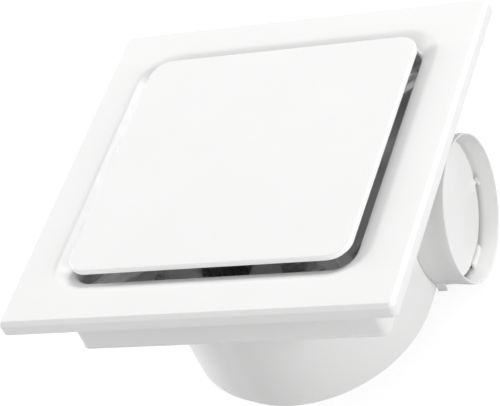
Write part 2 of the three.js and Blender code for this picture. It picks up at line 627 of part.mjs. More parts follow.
function spigotAdaptor() {
  const sleeve = PIPE_RADIUS - CASE_WALL - FIT;
  const collar = SPIGOT_LENGTH - SPIGOT_COLLAR;
  const tube = turned([[sleeve - SPIGOT_WALL, -SLEEVE_DEPTH], [sleeve, -SLEEVE_DEPTH], [sleeve, FIT],
    [PIPE_RADIUS, FIT], [PIPE_RADIUS, collar - 2.5], [SPIGOT_RADIUS, collar], [SPIGOT_RADIUS, SPIGOT_LENGTH],
    [SPIGOT_RADIUS - SPIGOT_WALL, SPIGOT_LENGTH], [SPIGOT_RADIUS - SPIGOT_WALL, collar + 1],
    [BORE_RADIUS, collar - 1.5], [BORE_RADIUS, 2.5], [sleeve - SPIGOT_WALL, 0.5]], TUBE_SIDES);
  const inWall = BORE_RADIUS + 0.5;
  // seat behind the flap's large side, and a stop tab in front of its small side
  const seat = common(ring(BORE_RADIUS - 3, inWall, FLAP_BACK - FIT - 2.2, FLAP_BACK - FIT, TUBE_SIDES),
    block(-FAR, FLAP_PIVOT - 7, -FAR, FAR, 0, SPIGOT_LENGTH));
  const stop = common(ring(BORE_RADIUS - 4.5, inWall, FLAP_FACE + FIT, FLAP_FACE + FIT + 2, TUBE_SIDES),
    block(0, FAR, -12, 12, 0, SPIGOT_LENGTH));
  const ears = [-1, 1].map((side) => common(rod(inWall, 0, SPIGOT_LENGTH, 0, 0, TUBE_SIDES),
    block(FLAP_PIVOT - 4, FLAP_PIVOT + 4, side > 0 ? CHORD - 0.4 : -FAR, side > 0 ? FAR : -CHORD + 0.4,
      PIVOT_Z - 3.6, PIVOT_Z + 3.6)));
  const lugs = [-1, 1].map((side) => {
    const y = side * PIPE_RADIUS * 0.842;
    const surface = Math.sqrt(PIPE_RADIUS ** 2 - y ** 2);
    return block(surface - 2, surface + LUG_LENGTH, y - 1, y + 1, FIT, FIT + LUG_WIDTH);
  });
  const pinHoles = [-1, 1].map((side) => alongY(PIN_RADIUS + FIT, side > 0 ? CHORD - 3 : -PIPE_RADIUS - 2,
    side > 0 ? PIPE_RADIUS + 2 : -CHORD + 3, FLAP_PIVOT, PIVOT_Z, 12));
  return cut(join(tube, seat, stop, ...ears, ...lugs), ...pinHoles);
}

function backdraftFlap() {
  const disc = rod(FLAP_RADIUS, FLAP_BACK, FLAP_FACE, 0, 0, TUBE_SIDES);
  const notches = [-1, 1].map((side) => block(FLAP_PIVOT - 6.2, FLAP_PIVOT + 6.2,
    side > 0 ? CHORD - 1.2 : -FAR, side > 0 ? FAR : -CHORD + 1.2, FLAP_BACK - 1, FLAP_FACE + 1));
  const tip = Math.sqrt(PIPE_RADIUS ** 2 - FLAP_PIVOT ** 2) - 0.4;
  const pins = [-1, 1].map((side) => alongY(PIN_RADIUS, side > 0 ? CHORD - 9 : -tip, side > 0 ? tip : -CHORD + 9,
    FLAP_PIVOT, PIVOT_Z, 12));
  return join(cut(disc, ...notches), ...pins);
}

// ---------------------------------------------------------------- terminal box

const terminalX = () => -BODY_HALF + 3 + TERMINAL_WIDTH / 2;
const terminalY = () => BODY_HALF - 3 - TERMINAL_LENGTH / 2;
const TERMINAL_TOP = Z_BODY - FIT;
const TERMINAL_BOTTOM = TERMINAL_TOP - TERMINAL_HEIGHT;

function terminalBox() {
  const w = TERMINAL_WIDTH / 2;
  const l = TERMINAL_LENGTH / 2;
  const shell = cut(block(-w, w, -l, l, TERMINAL_BOTTOM, TERMINAL_TOP),
    block(-w + TERMINAL_WALL, w - TERMINAL_WALL, -l + TERMINAL_WALL, l - TERMINAL_WALL,
      TERMINAL_BOTTOM - 1, TERMINAL_TOP - TERMINAL_WALL));
  const post = block(w - 7, w - TERMINAL_WALL + OVERLAP, -l + 1, -l + 7, TERMINAL_BOTTOM + FIT, TERMINAL_TOP - 1);
  const pilot = rod(SCREW_SHANK + FIT, TERMINAL_BOTTOM - 1, TERMINAL_BOTTOM + SCREW_LENGTH - 1, w - 4, -l + 4, 8);
  const entry = new THREE.CylinderGeometry(GLAND_RADIUS - 2, GLAND_RADIUS - 2, 6, 16)
    .rotateZ(Math.PI / 2).translate(-w, 8, TERMINAL_BOTTOM + TERMINAL_HEIGHT / 2);
  const wires = rod(5, TERMINAL_TOP - 3, TERMINAL_TOP + 1, 0, 12, 12);
  return cut(join(shell, post), pilot, entry, wires);
}

function terminalCover() {
  const w = TERMINAL_WIDTH / 2;
  const l = TERMINAL_LENGTH / 2;
  const bottom = TERMINAL_BOTTOM - FIT - TERMINAL_WALL;
  const lid = block(-w, w, -l, l, bottom, bottom + TERMINAL_WALL);
  return cut(lid, rod(SCREW_SHANK + FIT, bottom - 1, bottom + 4, w - 4, -l + 4, 8));
}

// Round cable inlet with a hexagonal nut, pointing along -X
function cableGland() {
  const thread = GLAND_RADIUS - 2 - FIT;
  const bore = thread - 1.4;
  const nose = turned([[bore, -4], [thread, -4], [thread, FIT], [GLAND_RADIUS, FIT], [GLAND_RADIUS, 4],
    [GLAND_RADIUS - 1, 4.5], [GLAND_RADIUS - 1, GLAND_LENGTH - 3], [GLAND_RADIUS - 2.4, GLAND_LENGTH],
    [bore, GLAND_LENGTH]], 12);
  return nose.rotateY(-Math.PI / 2);
}

// ---------------------------------------------------------------- assembly

add("fascia_frame", fasciaFrame(), WHITE);
add("front_panel", frontPanel(), WHITE);
CORNERS.forEach(([sx, sy], i) => {
  add(`panel_bracket_${i + 1}`, panelBracket(sx, sy), CASING_WHITE);
  const socket = add(`panel_socket_${i + 1}`, panelSocket(), TERMINAL_GREY);
  socket.position.set((sx * POST_PITCH) / 2, (sy * POST_PITCH) / 2, Z_BRACKET);
  const fixing = add(`fascia_screw_${i + 1}`, screw(), ZINC);
  fixing.position.set((sx * PILLAR_PITCH) / 2, (sy * PILLAR_PITCH) / 2, Z_BRACKET + BRACKET_THICK + FIT);
});

add("body_housing", bodyHousing(), CASING_WHITE);

const blower = new THREE.Group();
blower.position.set(AXIS_X, AXIS_Y, 0);
fan.add(blower);
add("inlet_bell", inletBell(), CASING_WHITE, blower);
bellScrewPlaces().forEach(([x, y], i) => {
  const fixing = add(`inlet_screw_${i + 1}`, screw(SCREW_LENGTH * 0.75), ZINC, blower);
  fixing.position.set(x, y, Z_FLOOR + BELL_WALL + 2 * FIT);
});
casingScrewPlaces().forEach(([x, y], i) => {
  const fixing = add(`casing_screw_${i + 1}`, screw(), ZINC, blower);
  fixing.position.set(x, y, Z_FLOOR + FIT);
});

const spigot = new THREE.Group();
spigot.position.set(OUTLET_X, SPIGOT_Y, Z_SPIGOT);
spigot.rotation.y = Math.PI / 2;
spigot.updateMatrix();
fan.add(spigot);
add("volute_casing", voluteCasing(spigot.matrix), CASING_WHITE);
add("spigot_adaptor", spigotAdaptor(), CASING_WHITE, spigot);
add("backdraft_flap", backdraftFlap(), WHITE, spigot);

add("motor_plate", motorPlate(), STEEL, blower);
plateScrewPlaces().forEach(([x, y], i) => {
  const fixing = add(`plate_screw_${i + 1}`, screw(SCREW_LENGTH / 2), ZINC, blower);
  fixing.position.set(x, y, PLATE_TOP - MOTOR_PLATE_THICK - FIT);
  fixing.rotation.x = Math.PI;
});
motorEarPlaces().forEach(([x, y], i) => {
  const bush = add(`motor_grommet_${i + 1}`, grommet(), RUBBER, blower);
  bush.position.set(x, y, Z_EAR);
  const fixing = add(`motor_screw_${i + 1}`, screw(), ZINC, blower);
  fixing.position.set(x, y, Z_EAR + 3.1 + FIT);
});

const motor = new THREE.Group();
motor.position.z = MOTOR_MIDDLE;
blower.add(motor);
add("motor_can_rear", motorCan(true), STEEL, motor);
add("motor_can_front", motorCan(false), STEEL, motor).rotation.x = Math.PI;
const boreWall = MOTOR_RADIUS - CAN_WALL - FIT;
add("stator_core", ring(ROTOR_RADIUS + 0.4, boreWall, -STATOR_LENGTH / 2, STATOR_LENGTH / 2, 20), LAMINATION, motor);
const windingHeight = MOTOR_LENGTH / 2 - BEARING_WIDTH - 2 * CAN_WALL - STATOR_LENGTH / 2;
[["rear", -1], ["front", 1]].forEach(([end, side]) => {
  const near = STATOR_LENGTH / 2 + FIT;
  const winding = turned([[ROTOR_RADIUS + 2, near], [boreWall - 2, near], [boreWall - 4, near + windingHeight],
    [ROTOR_RADIUS + 4, near + windingHeight]], 20);
  add(`stator_winding_${end}`, winding, COPPER, motor).rotation.x = side > 0 ? 0 : Math.PI;
  const seat = MOTOR_LENGTH / 2 - CAN_WALL - FIT;
  const bearing = ring(SHAFT_RADIUS + FIT, BEARING_RADIUS, seat - BEARING_WIDTH, seat, 16);
  add(`bearing_${end}`, bearing, STEEL, motor).rotation.x = side > 0 ? 0 : Math.PI;
});
add("rotor_core", ring(SHAFT_RADIUS + FIT, ROTOR_RADIUS, -STATOR_LENGTH / 2, STATOR_LENGTH / 2, 20), LAMINATION, motor);
const hubTop = MOTOR_LENGTH / 2 + 6 + 12;
add("motor_shaft", rod(SHAFT_RADIUS, -MOTOR_LENGTH / 2 - 1, hubTop + 8, 0, 0, 16), STEEL, motor);
add("impeller", impeller(), WHEEL_GREY, blower);
add("impeller_nut", cut(rod(7.5, hubTop + FIT, hubTop + 6, 0, 0, 6),
  rod(SHAFT_RADIUS + FIT, hubTop - 1, hubTop + 7)), ZINC, motor);

const wiring = new THREE.Group();
wiring.position.set(terminalX(), terminalY(), 0);
fan.add(wiring);
add("terminal_box", terminalBox(), TERMINAL_GREY, wiring);
add("terminal_cover", terminalCover(), TERMINAL_GREY, wiring);
const coverScrew = add("terminal_cover_screw", screw(SCREW_LENGTH * 0.8), ZINC, wiring);
coverScrew.position.set(TERMINAL_WIDTH / 2 - 4, -TERMINAL_LENGTH / 2 + 4, TERMINAL_BOTTOM - 2 * FIT - TERMINAL_WALL);
coverScrew.rotation.x = Math.PI;
add("cable_gland", cableGland(), RUBBER, wiring)
  .position.set(-TERMINAL_WIDTH / 2, 8, TERMINAL_BOTTOM + TERMINAL_HEIGHT / 2);
const inside = TERMINAL_TOP - TERMINAL_WALL - FIT;
add("terminal_block", block(-13, -2, -15, 2, inside - 11, inside), TERMINAL_GREY, wiring);
add("capacitor", alongY(5.5, -12, 18, 8.2, inside - 5.5, 18), RUBBER, wiring);

export default fan;
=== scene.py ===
"""Looks of a square flush-mounted exhaust fan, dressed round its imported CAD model.

Geometry is worked out in millimetres, in the CAD's own frame, and becomes metres in mesh_object().
"""

import json
import math
import random

import bmesh
import bpy
from mathutils import Matrix, Vector


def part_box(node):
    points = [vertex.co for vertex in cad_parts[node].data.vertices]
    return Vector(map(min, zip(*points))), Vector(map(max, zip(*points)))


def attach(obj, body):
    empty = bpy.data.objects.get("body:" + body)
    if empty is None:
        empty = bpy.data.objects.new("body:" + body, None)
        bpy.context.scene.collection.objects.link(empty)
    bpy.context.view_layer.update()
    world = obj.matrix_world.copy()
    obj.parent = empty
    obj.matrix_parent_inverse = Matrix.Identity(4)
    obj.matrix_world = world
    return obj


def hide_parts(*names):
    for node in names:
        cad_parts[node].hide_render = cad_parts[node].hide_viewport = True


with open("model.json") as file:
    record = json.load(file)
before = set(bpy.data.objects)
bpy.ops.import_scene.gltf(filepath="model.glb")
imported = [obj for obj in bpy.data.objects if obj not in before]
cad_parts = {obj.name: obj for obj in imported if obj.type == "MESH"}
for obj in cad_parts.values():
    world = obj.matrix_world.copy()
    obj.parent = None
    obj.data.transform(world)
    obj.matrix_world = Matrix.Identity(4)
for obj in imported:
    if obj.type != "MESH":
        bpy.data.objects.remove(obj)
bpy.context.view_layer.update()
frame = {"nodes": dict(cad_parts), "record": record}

MM = 0.001
MERGE_DISTANCE = 1e-7
SEED = 7
random.seed(SEED)
replaced_nodes = set()

# ---------------------------------------------------------------- sizes, in millimetres


def box_mm(node):
    low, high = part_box(node)
    return low / MM, high / MM


def centre_xy(node):
    low, high = box_mm(node)
    return (low.x + high.x) / 2, (low.y + high.y) / 2


def numbered(name, count):
    return [f"{name}_{i}" for i in range(1, count + 1)]


FASCIA_LOW, FASCIA_HIGH = box_mm("fascia_frame")
PANEL_LOW, PANEL_HIGH = box_mm("front_panel")
BODY_LOW, BODY_HIGH = box_mm("body_housing")
SPIGOT_LOW, SPIGOT_HIGH = box_mm("spigot_adaptor")
WHEEL_LOW, WHEEL_HIGH = box_mm("impeller")

AXIS_X, AXIS_Y = centre_xy("impeller")

FIT = 0.3  # gap between pieces that fit into each other
PAST = 1.0  # how far a cutting shape runs past the surface it opens
QUARTER_TURN = math.radians(90)
OPENING_SIDES = 128
ROUND_SIDES = 160
TO_AXIS = Matrix.Translation((AXIS_X, AXIS_Y, 0))
CORNERS = ((-1, -1), (-1, 1), (1, -1), (1, 1))

FASCIA_HALF = FASCIA_HIGH.x
Z_FRONT = FASCIA_HIGH.z
FASCIA_THICK = 12.8
Z_CEILING = Z_FRONT - FASCIA_THICK
FASCIA_BEVEL = 3.0
FASCIA_CORNER = 5.0
FASCIA_SKIN = 2.4
MIN_CORNER = 1.0
ROLL_REACH = 18.0  # how far the recess's rim runs in under the panel's edge
ROLL_DROP = 11.0  # how far it comes down on the way
RIM_SLOPE = math.radians(27)
RIM_ROUND = 10.0
LIP_ROUND = 4.9
SKIRT_WALL = 2.2
Z_SKIRT_EDGE = FASCIA_LOW.z

PANEL_HALF = PANEL_HIGH.x
PANEL_CORNER = 18.0
PANEL_EDGE = 4.8
PANEL_ROUND = 1.5
PANEL_CROWN = 0.8
PANEL_SKIN = 2.2
PANEL_TOP = PANEL_HIGH.z - PANEL_CROWN
RIM_INSET = 17.5
RIM_HALF = PANEL_HALF + RIM_INSET
POST_PITCH = 172.0
POST_RADIUS = 4.0
RIB_HALF = 1.0
RIB_OVERLAP = 0.3

FLOOR_EDGE = 0.8
BODY_HALF = BODY_HIGH.x - FLOOR_EDGE
BODY_CORNER = 8.0
BODY_MIN_CORNER = 2.0
BODY_WALL = 2.2
FLOOR_THICK = 2.5
Z_BODY = BODY_LOW.z
Z_HOUSING_RIM = BODY_HIGH.z
PILLAR_PITCH = 224.0
PILLAR_RADIUS = 5.5
PILLAR_ROOT = 0.6
FIXING_PITCH = 180.0
FIXING_RADIUS = 2.75
SKIRT_GAP = 0.8
SKIRT_OUT = BODY_HALF - BODY_WALL - FIT - SKIRT_GAP
SKIRT_IN = SKIRT_OUT - SKIRT_WALL
Z_BRACKET = box_mm("panel_bracket_1")[0].z
SLOT_WIDTH = 12.6
SLOT_HEIGHT = 3.1
SLOT_MARGIN = 3.0

SPIGOT_RADIUS = (SPIGOT_HIGH.y - SPIGOT_LOW.y) / 2
SPIGOT_Y = (SPIGOT_LOW.y + SPIGOT_HIGH.y) / 2
SPIGOT_Z = SPIGOT_RADIUS
SPIGOT_LENGTH = 31.3
SPIGOT_COLLAR = 9.0
SPIGOT_WALL = 1.6
SLEEVE_DEPTH = 8.0
OUTLET_X = SPIGOT_HIGH.x - SPIGOT_LENGTH
SPIGOT_STEP = 1.1
PIPE_RADIUS = SPIGOT_RADIUS - SPIGOT_STEP
PIPE_WALL = 1.3
BORE_RADIUS = PIPE_RADIUS - PIPE_WALL
TAPER_ROUND = 6
MOUTH_ROUND = 3
LUG_LENGTH = 8.4
LUG_WIDTH = 8.0
LUG_HALF = 1.0
LUG_SPREAD = 0.842
SEAT_WIDTH = 3.0
SEAT_THICK = 2.2
STOP_WIDTH = 4.5
STOP_HALF = 12.0
STOP_THICK = 2.0
EAR_HALF = 4.0
EAR_DEPTH = 3.6

FLAP_RECESS = 16.0
FLAP_THICK = 1.8
FLAP_GAP = 2.1
FLAP_TRIM = 1.2  # how much smaller the disc is drawn than the flap in the CAD
FLAP_FACE = SPIGOT_LENGTH - FLAP_RECESS
FLAP_BACK = FLAP_FACE - FLAP_THICK
FLAP_RADIUS = BORE_RADIUS - FLAP_GAP
FLAP_PIVOT = 21.8
NOTCH_DEPTH = 1.2
NOTCH_HALF = 6.2
PIN_RADIUS = 1.5
CHORD = math.sqrt(FLAP_RADIUS ** 2 - FLAP_PIVOT ** 2)
PIVOT_DEPTH = (FLAP_FACE + FLAP_BACK) / 2

OUTLET_MARGIN = 0.4
DRUM_RADIUS = OUTLET_X - AXIS_X - OUTLET_MARGIN
CASE_WALL = 2.2
CASE_DEPTH = 109.2
CASE_TOP = box_mm("volute_casing")[1].z
CASE_ROUND = 1.6
Z_END = Z_BODY - CASE_DEPTH
SCROLL_START = -110.0
SCROLL_END = -270.0
SCROLL_MARGIN = 0.2
SCROLL_TOP = SPIGOT_Y + PIPE_RADIUS + SCROLL_MARGIN
SCROLL_GROWTH = math.log((SCROLL_TOP - AXIS_Y) / DRUM_RADIUS) / (SCROLL_START - SCROLL_END)
MOTOR_OPENING = 60.0
TROUGH_LENGTH = 30.0
TROUGH_DOME = 18.0
BOSS_RADIUS = 4.8
BOSS_LENGTH = 16.0

WHEEL_RADIUS = (WHEEL_HIGH.x - WHEEL_LOW.x) / 2
WHEEL_PLATE = 2.0
BLADE_COUNT = 30
BLADE_CHORD = 15.0
BLADE_THICK = 1.1
WHEEL_HEIGHT = 67
WHEEL_BORE = 4.3
BAND_WIDTH = 4.5
BAND_HEIGHT = 3.0
BELL_LOW, BELL_HIGH = box_mm("inlet_bell")
BELL_OUTER = (BELL_HIGH.x - BELL_LOW.x) / 2
BELL_FLANGE = 7.0
THROAT_INSET = 14.0
THROAT_RADIUS = WHEEL_RADIUS - THROAT_INSET
BELL_ROUND = 16.0
BELL_WALL = 2.0

CAN_LOW, CAN_HIGH = box_mm("motor_can_front")
MOTOR_RADIUS = (CAN_HIGH.x - CAN_LOW.x) / 2
HUB_RISE = 18
HUB_TOP = CAN_HIGH.z + HUB_RISE
HUB_HEIGHT = 12
HUB_RADIUS = 10
BAND_TOP = WHEEL_LOW.z + WHEEL_HEIGHT
TERMINAL_X, TERMINAL_Y = centre_xy("terminal_box")
WIRE_OFFSET = 12
WIRE_RADIUS = 5

SCREW_HOLE = 2.2
SCREW_SIDES = 20
SCREW_LENGTH = 12
SCREW_SHANK = 1.9
SCREW_PITCH = 0.9
SCREW_HEAD_RADIUS = 4.0
SCREW_HEAD_HEIGHT = 2.6
CROSS_REACH = 2.1
CROSS_HALF = 0.42
CROSS_DEPTH = 1.5
GLAND_ROOT = 4  # the part of the cable gland that stands in the box's wall
GLAND_RIBS = 20
GLAND_SIDES = 48

# ---------------------------------------------------------------- camera

CAMERA_PLACE = Vector((815.3, -1197.3, 1302.6))
CAMERA_RIGHT = Vector((0.89154, 0.27218, -0.36204))
CAMERA_UP = Vector((0.06477, 0.71448, 0.69665))
CAMERA_LENS = 165.74
CAMERA_SENSOR = 36
CAMERA_CLIP = 20


def linked(name, data):
    """New object that shows the data, in the scene."""
    obj = bpy.data.objects.new(name, data)
    bpy.context.scene.collection.objects.link(obj)
    return obj


def make_camera():
    data = bpy.data.cameras.new("camera")
    data.lens = CAMERA_LENS
    data.sensor_width = CAMERA_SENSOR
    data.clip_end = CAMERA_CLIP
    camera = linked("camera", data)
    right = CAMERA_RIGHT.normalized()
    back = right.cross(CAMERA_UP).normalized()
    up = back.cross(right)
    turn = Matrix((right, up, back)).transposed().to_4x4()
    camera.matrix_world = Matrix.Translation(CAMERA_PLACE * MM) @ turn
    bpy.context.scene.camera = camera


# ---------------------------------------------------------------- outlines


def filleted(corners, steps=5):
    """Closed outline through (u, v, radius) corners, each rounded by its radius."""
    points = []
    count = len(corners)
    for i, (u, v, radius) in enumerate(corners):
        here = Vector((u, v))
        before = Vector(corners[i - 1][:2]) - here
        after = Vector(corners[(i + 1) % count][:2]) - here
        if radius <= 0:
            points.append((u, v))
            continue
        half = before.angle(after) / 2
        reach = min(radius / math.tan(half), before.length * 0.49, after.length * 0.49)
        radius = reach * math.tan(half)
        bisector = (before.normalized() + after.normalized()).normalized()
        centre = here + bisector * (radius / math.sin(half))
        start = here + before.normalized() * reach - centre
        end = here + after.normalized() * reach - centre
        turn = start.angle_signed(end)
        for k in range(steps + 1):
            angle = -turn * k / steps
            c, s = math.cos(angle), math.sin(angle)
            arm = Vector((start.x * c - start.y * s, start.x * s + start.y * c))
            points.append(tuple(centre + arm))
    return points


def square_loop(half, corner, z, steps=14):
    """Square with rounded corners, counter-clockwise from the +X side."""
    loop = []
    for quarter in range(4):
        sx, sy = ((1, 1), (-1, 1), (-1, -1), (1, -1))[quarter]
        for k in range(steps + 1):
            angle = math.radians(90 * quarter + 90 * k / steps)
            x = sx * (half - corner) + corner * math.cos(angle)
            y = sy * (half - corner) + corner * math.sin(angle)
            loop.append((x, y, z))
    return loop


class Shape:
    """Vertices and faces in millimetres."""

    def __init__(self, verts=(), faces=()):
        self.verts = [Vector(v) for v in verts]
        self.faces = [tuple(f) for f in faces]

    def add(self, other):
        start = len(self.verts)
        self.verts += other.verts
        self.faces += [tuple(start + i for i in f) for f in other.faces]
        return self

    def moved(self, matrix):
        return Shape([matrix @ v for v in self.verts], self.faces)


def loft(loops, closed):
    """Skin over loops with equal point counts: a ring, or a solid with flat ends."""
    count = len(loops[0])
    verts = [v for loop in loops for v in loop]
    faces = []
    rows = len(loops) if closed else len(loops) - 1
    for i in range(rows):
        a, b = i * count, ((i + 1) % len(loops)) * count
        for j in range(count):
            k = (j + 1) % count
            faces.append((a + j, a + k, b + k, b + j))
    if not closed:
        faces.append(tuple(range(count - 1, -1, -1)))
        last = (len(loops) - 1) * count
        faces.append(tuple(last + j for j in range(count)))
    return Shape(verts, faces)


def lathe(outline, segments=96):
    """Ring turned about Z from a closed outline of (radius, z) points off the axis."""
    loops = []
    for i in range(segments):
        angle = 2 * math.pi * i / segments
        c, s = math.cos(angle), math.sin(angle)
        loops.append([(r * c, r * s, z) for r, z in outline])
    return loft(loops, True)


def turned(outline, segments=48):
    """Solid turned about Z from an open outline whose two ends lie on the axis."""
    inner = outline[1:-1]
    loops = [[(r * math.cos(a), r * math.sin(a), z)
              for a in (2 * math.pi * i / segments for i in range(segments))] for r, z in inner]
    shape = loft(loops, False)
    shape.faces = shape.faces[:-2]
    bottom, top = len(shape.verts), len(shape.verts) + 1
    shape.verts += [Vector((0, 0, outline[0][1])), Vector((0, 0, outline[-1][1]))]
    last = (len(loops) - 1) * segments
    for j in range(segments):
        k = (j + 1) % segments
        shape.faces.append((bottom, k, j))
        shape.faces.append((top, last + j, last + k))
    return shape


def rod(radius, z0, z1, x=0.0, y=0.0, segments=32):
    loops = [[(x + radius * math.cos(2 * math.pi * i / segments),
               y + radius * math.sin(2 * math.pi * i / segments), z) for i in range(segments)]
             for z in (z0, z1)]
    return loft(loops, False)


def block(x0, x1, y0, y1, z0, z1):
    loop = [(x0, y0), (x1, y0), (x1, y1), (x0, y1)]
    return loft([[(x, y, z) for x, y in loop] for z in (z0, z1)], False)


def outward(mesh):
    """Merges doubled vertices, and turns the faces so that they point out of the shape."""
    bm = bmesh.new()
    bm.from_mesh(mesh)
    bmesh.ops.remove_doubles(bm, verts=bm.verts, dist=MERGE_DISTANCE)
    bmesh.ops.recalc_face_normals(bm, faces=bm.faces)
    if bm.calc_volume(signed=True) < 0:
        bmesh.ops.reverse_faces(bm, faces=bm.faces)
    bm.to_mesh(mesh)
    bm.free()


def mesh_object(name, shape):
    mesh = bpy.data.meshes.new(name)
    mesh.from_pydata([v * MM for v in shape.verts], [], shape.faces)
    outward(mesh)
    return linked(name, mesh)


def shape_of(obj):
    """Takes an object's mesh back as a shape, and removes the object."""
    mesh = obj.data
    shape = Shape([v.co / MM for v in mesh.vertices], [tuple(f.vertices) for f in mesh.polygons])
    bpy.data.objects.remove(obj)
    return shape


def boolean(obj, tool_shapes, operation):
    """Joins shapes to an object or cuts them from it, and keeps the result as its mesh."""
    tools = []
    for i, shape in enumerate(tool_shapes):
        tool = mesh_object(f"tool_{i}", shape)
        tools.append(tool)
        modifier = obj.modifiers.new("boolean", "BOOLEAN")
        modifier.operation = operation
        modifier.solver = "EXACT"
        modifier.object = tool
    result = bpy.data.meshes.new_from_object(
        obj.evaluated_get(bpy.context.evaluated_depsgraph_get()))
    obj.modifiers.clear()
    obj.data = result
    for tool in tools:
        bpy.data.objects.remove(tool)
    return obj


def finished(obj, node, slot, angle=30, body="root"):
    """Gives a piece its smooth shading, material and body, and hides and records the CAD node it
    stands in for.
    """
    obj.data.shade_smooth()
    obj.data.set_sharp_from_angle(angle=math.radians(angle))
    obj.data.materials.clear()
    obj.data.materials.append(MATERIALS[slot])
    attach(obj, body)
    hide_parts(node)
    replaced_nodes.add(node)


# ---------------------------------------------------------------- materials


class Nodes:
    """Short forms for building a node material."""

    MIX_COLORS, MIX_RESULT = (6, 7), 2  # colour sockets of the Mix node

    def __init__(self, name):
        self.material = bpy.data.materials.new(name)
        self.material.use_nodes = True
        self.tree = self.material.node_tree
        self.shader = self.tree.nodes["Principled BSDF"]
        self.place = self.new("ShaderNodeTexCoord").outputs["Object"]

    def new(self, kind, **values):
        node = self.tree.nodes.new(kind)
        for key, value in values.items():
            setattr(node, key, value)
        return node

    def link(self, output, node, socket):
        self.tree.links.new(output, node.inputs[socket])

    def noise(self, scale, detail):
        node = self.new("ShaderNodeTexNoise")
        self.link(self.place, node, "Vector")
        node.inputs["Scale"].default_value = scale
        node.inputs["Detail"].default_value = detail
        node.inputs["Roughness"].default_value = 0.5
        return node.outputs["Fac"]

    def ramp(self, value, low, high, start=0.3, end=0.7):
        node = self.new("ShaderNodeMapRange")
        self.link(value, node, "Value")
        node.inputs["From Min"].default_value = start
        node.inputs["From Max"].default_value = end
        node.inputs["To Min"].default_value = low
        node.inputs["To Max"].default_value = high
        return node.outputs["Result"]

    def tint(self, value, low, high):
        node = self.new("ShaderNodeMix", data_type="RGBA")
        self.link(value, node, 0)
        for socket, color in zip(self.MIX_COLORS, (low, high)):
            node.inputs[socket].default_value = (*color, 1)
        self.link(node.outputs[self.MIX_RESULT], self.shader, "Base Color")

    def bump(self, layers):
        """Adds up (value, depth in millimetres) layers as one bump."""
        normal = None
        for value, depth in layers:
            node = self.new("ShaderNodeBump")
            node.inputs["Strength"].default_value = 1.0
            node.inputs["Distance"].default_value = depth * MM
            self.link(value, node, "Height")
            if normal:
                self.link(normal, node, "Normal")
            normal = node.outputs["Normal"]
        self.link(normal, self.shader, "Normal")

    def set(self, **values):
        for key, value in values.items():
            self.shader.inputs[key].default_value = value


def shaded(color, share):
    return tuple(c * share for c in color)


def moulded_plastic(name, color, roughness, grain=0.004):
    """Injection-moulded plastic: a fine spark texture, faint flow waves and uneven gloss."""
    n = Nodes(name)
    n.tint(n.ramp(n.noise(14.0, 4.0), 0.0, 1.0), shaded(color, 0.985), color)
    n.link(n.ramp(n.noise(60.0, 5.0), roughness - 0.04, roughness + 0.04), n.shader, "Roughness")
    n.bump([(n.noise(9.0, 2.0), 0.12), (n.noise(2600.0, 2.0), grain)])
    n.set(IOR=1.49)
    return n.material


def brushed_metal(name, color, roughness, stretch=(1.0, 1.0, 30.0)):
    """Drawn or turned metal with fine parallel marks and faint stains."""
    n = Nodes(name)
    mapping = n.new("ShaderNodeMapping")
    n.link(n.place, mapping, "Vector")
    mapping.inputs["Scale"].default_value = stretch
    n.place = mapping.outputs["Vector"]
    marks = n.noise(900.0, 4.0)
    n.tint(n.ramp(n.noise(25.0, 5.0), 0.0, 1.0), shaded(color, 0.88), color)
    n.link(n.ramp(marks, roughness - 0.08, roughness + 0.1), n.shader, "Roughness")
    n.bump([(marks, 0.01)])
    n.set(Metallic=1.0)
    return n.material


def spangled_steel(name, color, roughness):
    """Galvanised sheet: flat zinc crystals that differ a little in tone and gloss."""
    n = Nodes(name)
    cells = n.new("ShaderNodeTexVoronoi")
    n.link(n.place, cells, "Vector")
    cells.inputs["Scale"].default_value = 210.0
    cells.inputs["Randomness"].default_value = 1.0
    split = n.new("ShaderNodeSeparateColor")
    n.link(cells.outputs["Color"], split, "Color")
    crystal = split.outputs["Red"]
    n.tint(n.ramp(crystal, 0.0, 1.0, 0.0, 1.0), shaded(color, 0.8), color)
    n.link(n.ramp(crystal, roughness - 0.07, roughness + 0.09, 0.0, 1.0), n.shader, "Roughness")
    n.bump([(n.noise(500.0, 3.0), 0.006)])
    n.set(Metallic=1.0)
    return n.material


def rubber(name, color, roughness):
    """Matt rubber with a fine grain."""
    n = Nodes(name)
    n.tint(n.ramp(n.noise(80.0, 5.0), 0.0, 1.0), shaded(color, 0.75), color)
    n.link(n.ramp(n.noise(300.0, 4.0), roughness - 0.08, roughness + 0.06), n.shader, "Roughness")
    n.bump([(n.noise(1500.0, 3.0), 0.015)])
    return n.material


def slot_color(slot):
    for entry in frame["record"]["materials"]:
        if entry["slot"] == slot:
            return tuple(entry["base_color"][:3])
    raise ValueError(slot)


MATERIALS = {
    "fascia_white": moulded_plastic("fascia_white", slot_color("fascia_white"), 0.34),
    "casing_white": moulded_plastic("casing_white", slot_color("casing_white"), 0.42, 0.006),
    "wheel_grey": moulded_plastic("wheel_grey", slot_color("wheel_grey"), 0.5, 0.006),
    "grey_plastic": moulded_plastic("grey_plastic", slot_color("grey_plastic"), 0.5, 0.008),
    "rubber": rubber("rubber", slot_color("rubber"), 0.7),
    "steel": spangled_steel("steel", slot_color("steel"), 0.36),
    "zinc": brushed_metal("zinc", slot_color("zinc"), 0.3, (1.0, 1.0, 6.0)),
    "lamination": brushed_metal("lamination", slot_color("lamination"), 0.5),
    "winding": brushed_metal("winding", slot_color("winding"), 0.35),
}

# ---------------------------------------------------------------- fascia


def recess_corner(half):
    """Corner radius that keeps the same distance from the panel all the way round."""
    return PANEL_CORNER + half - PANEL_HALF


def diagonal(half, corner):
    """Distance from the middle to a round corner, along the diagonal."""
    return math.sqrt(2) * (half - corner) + corner


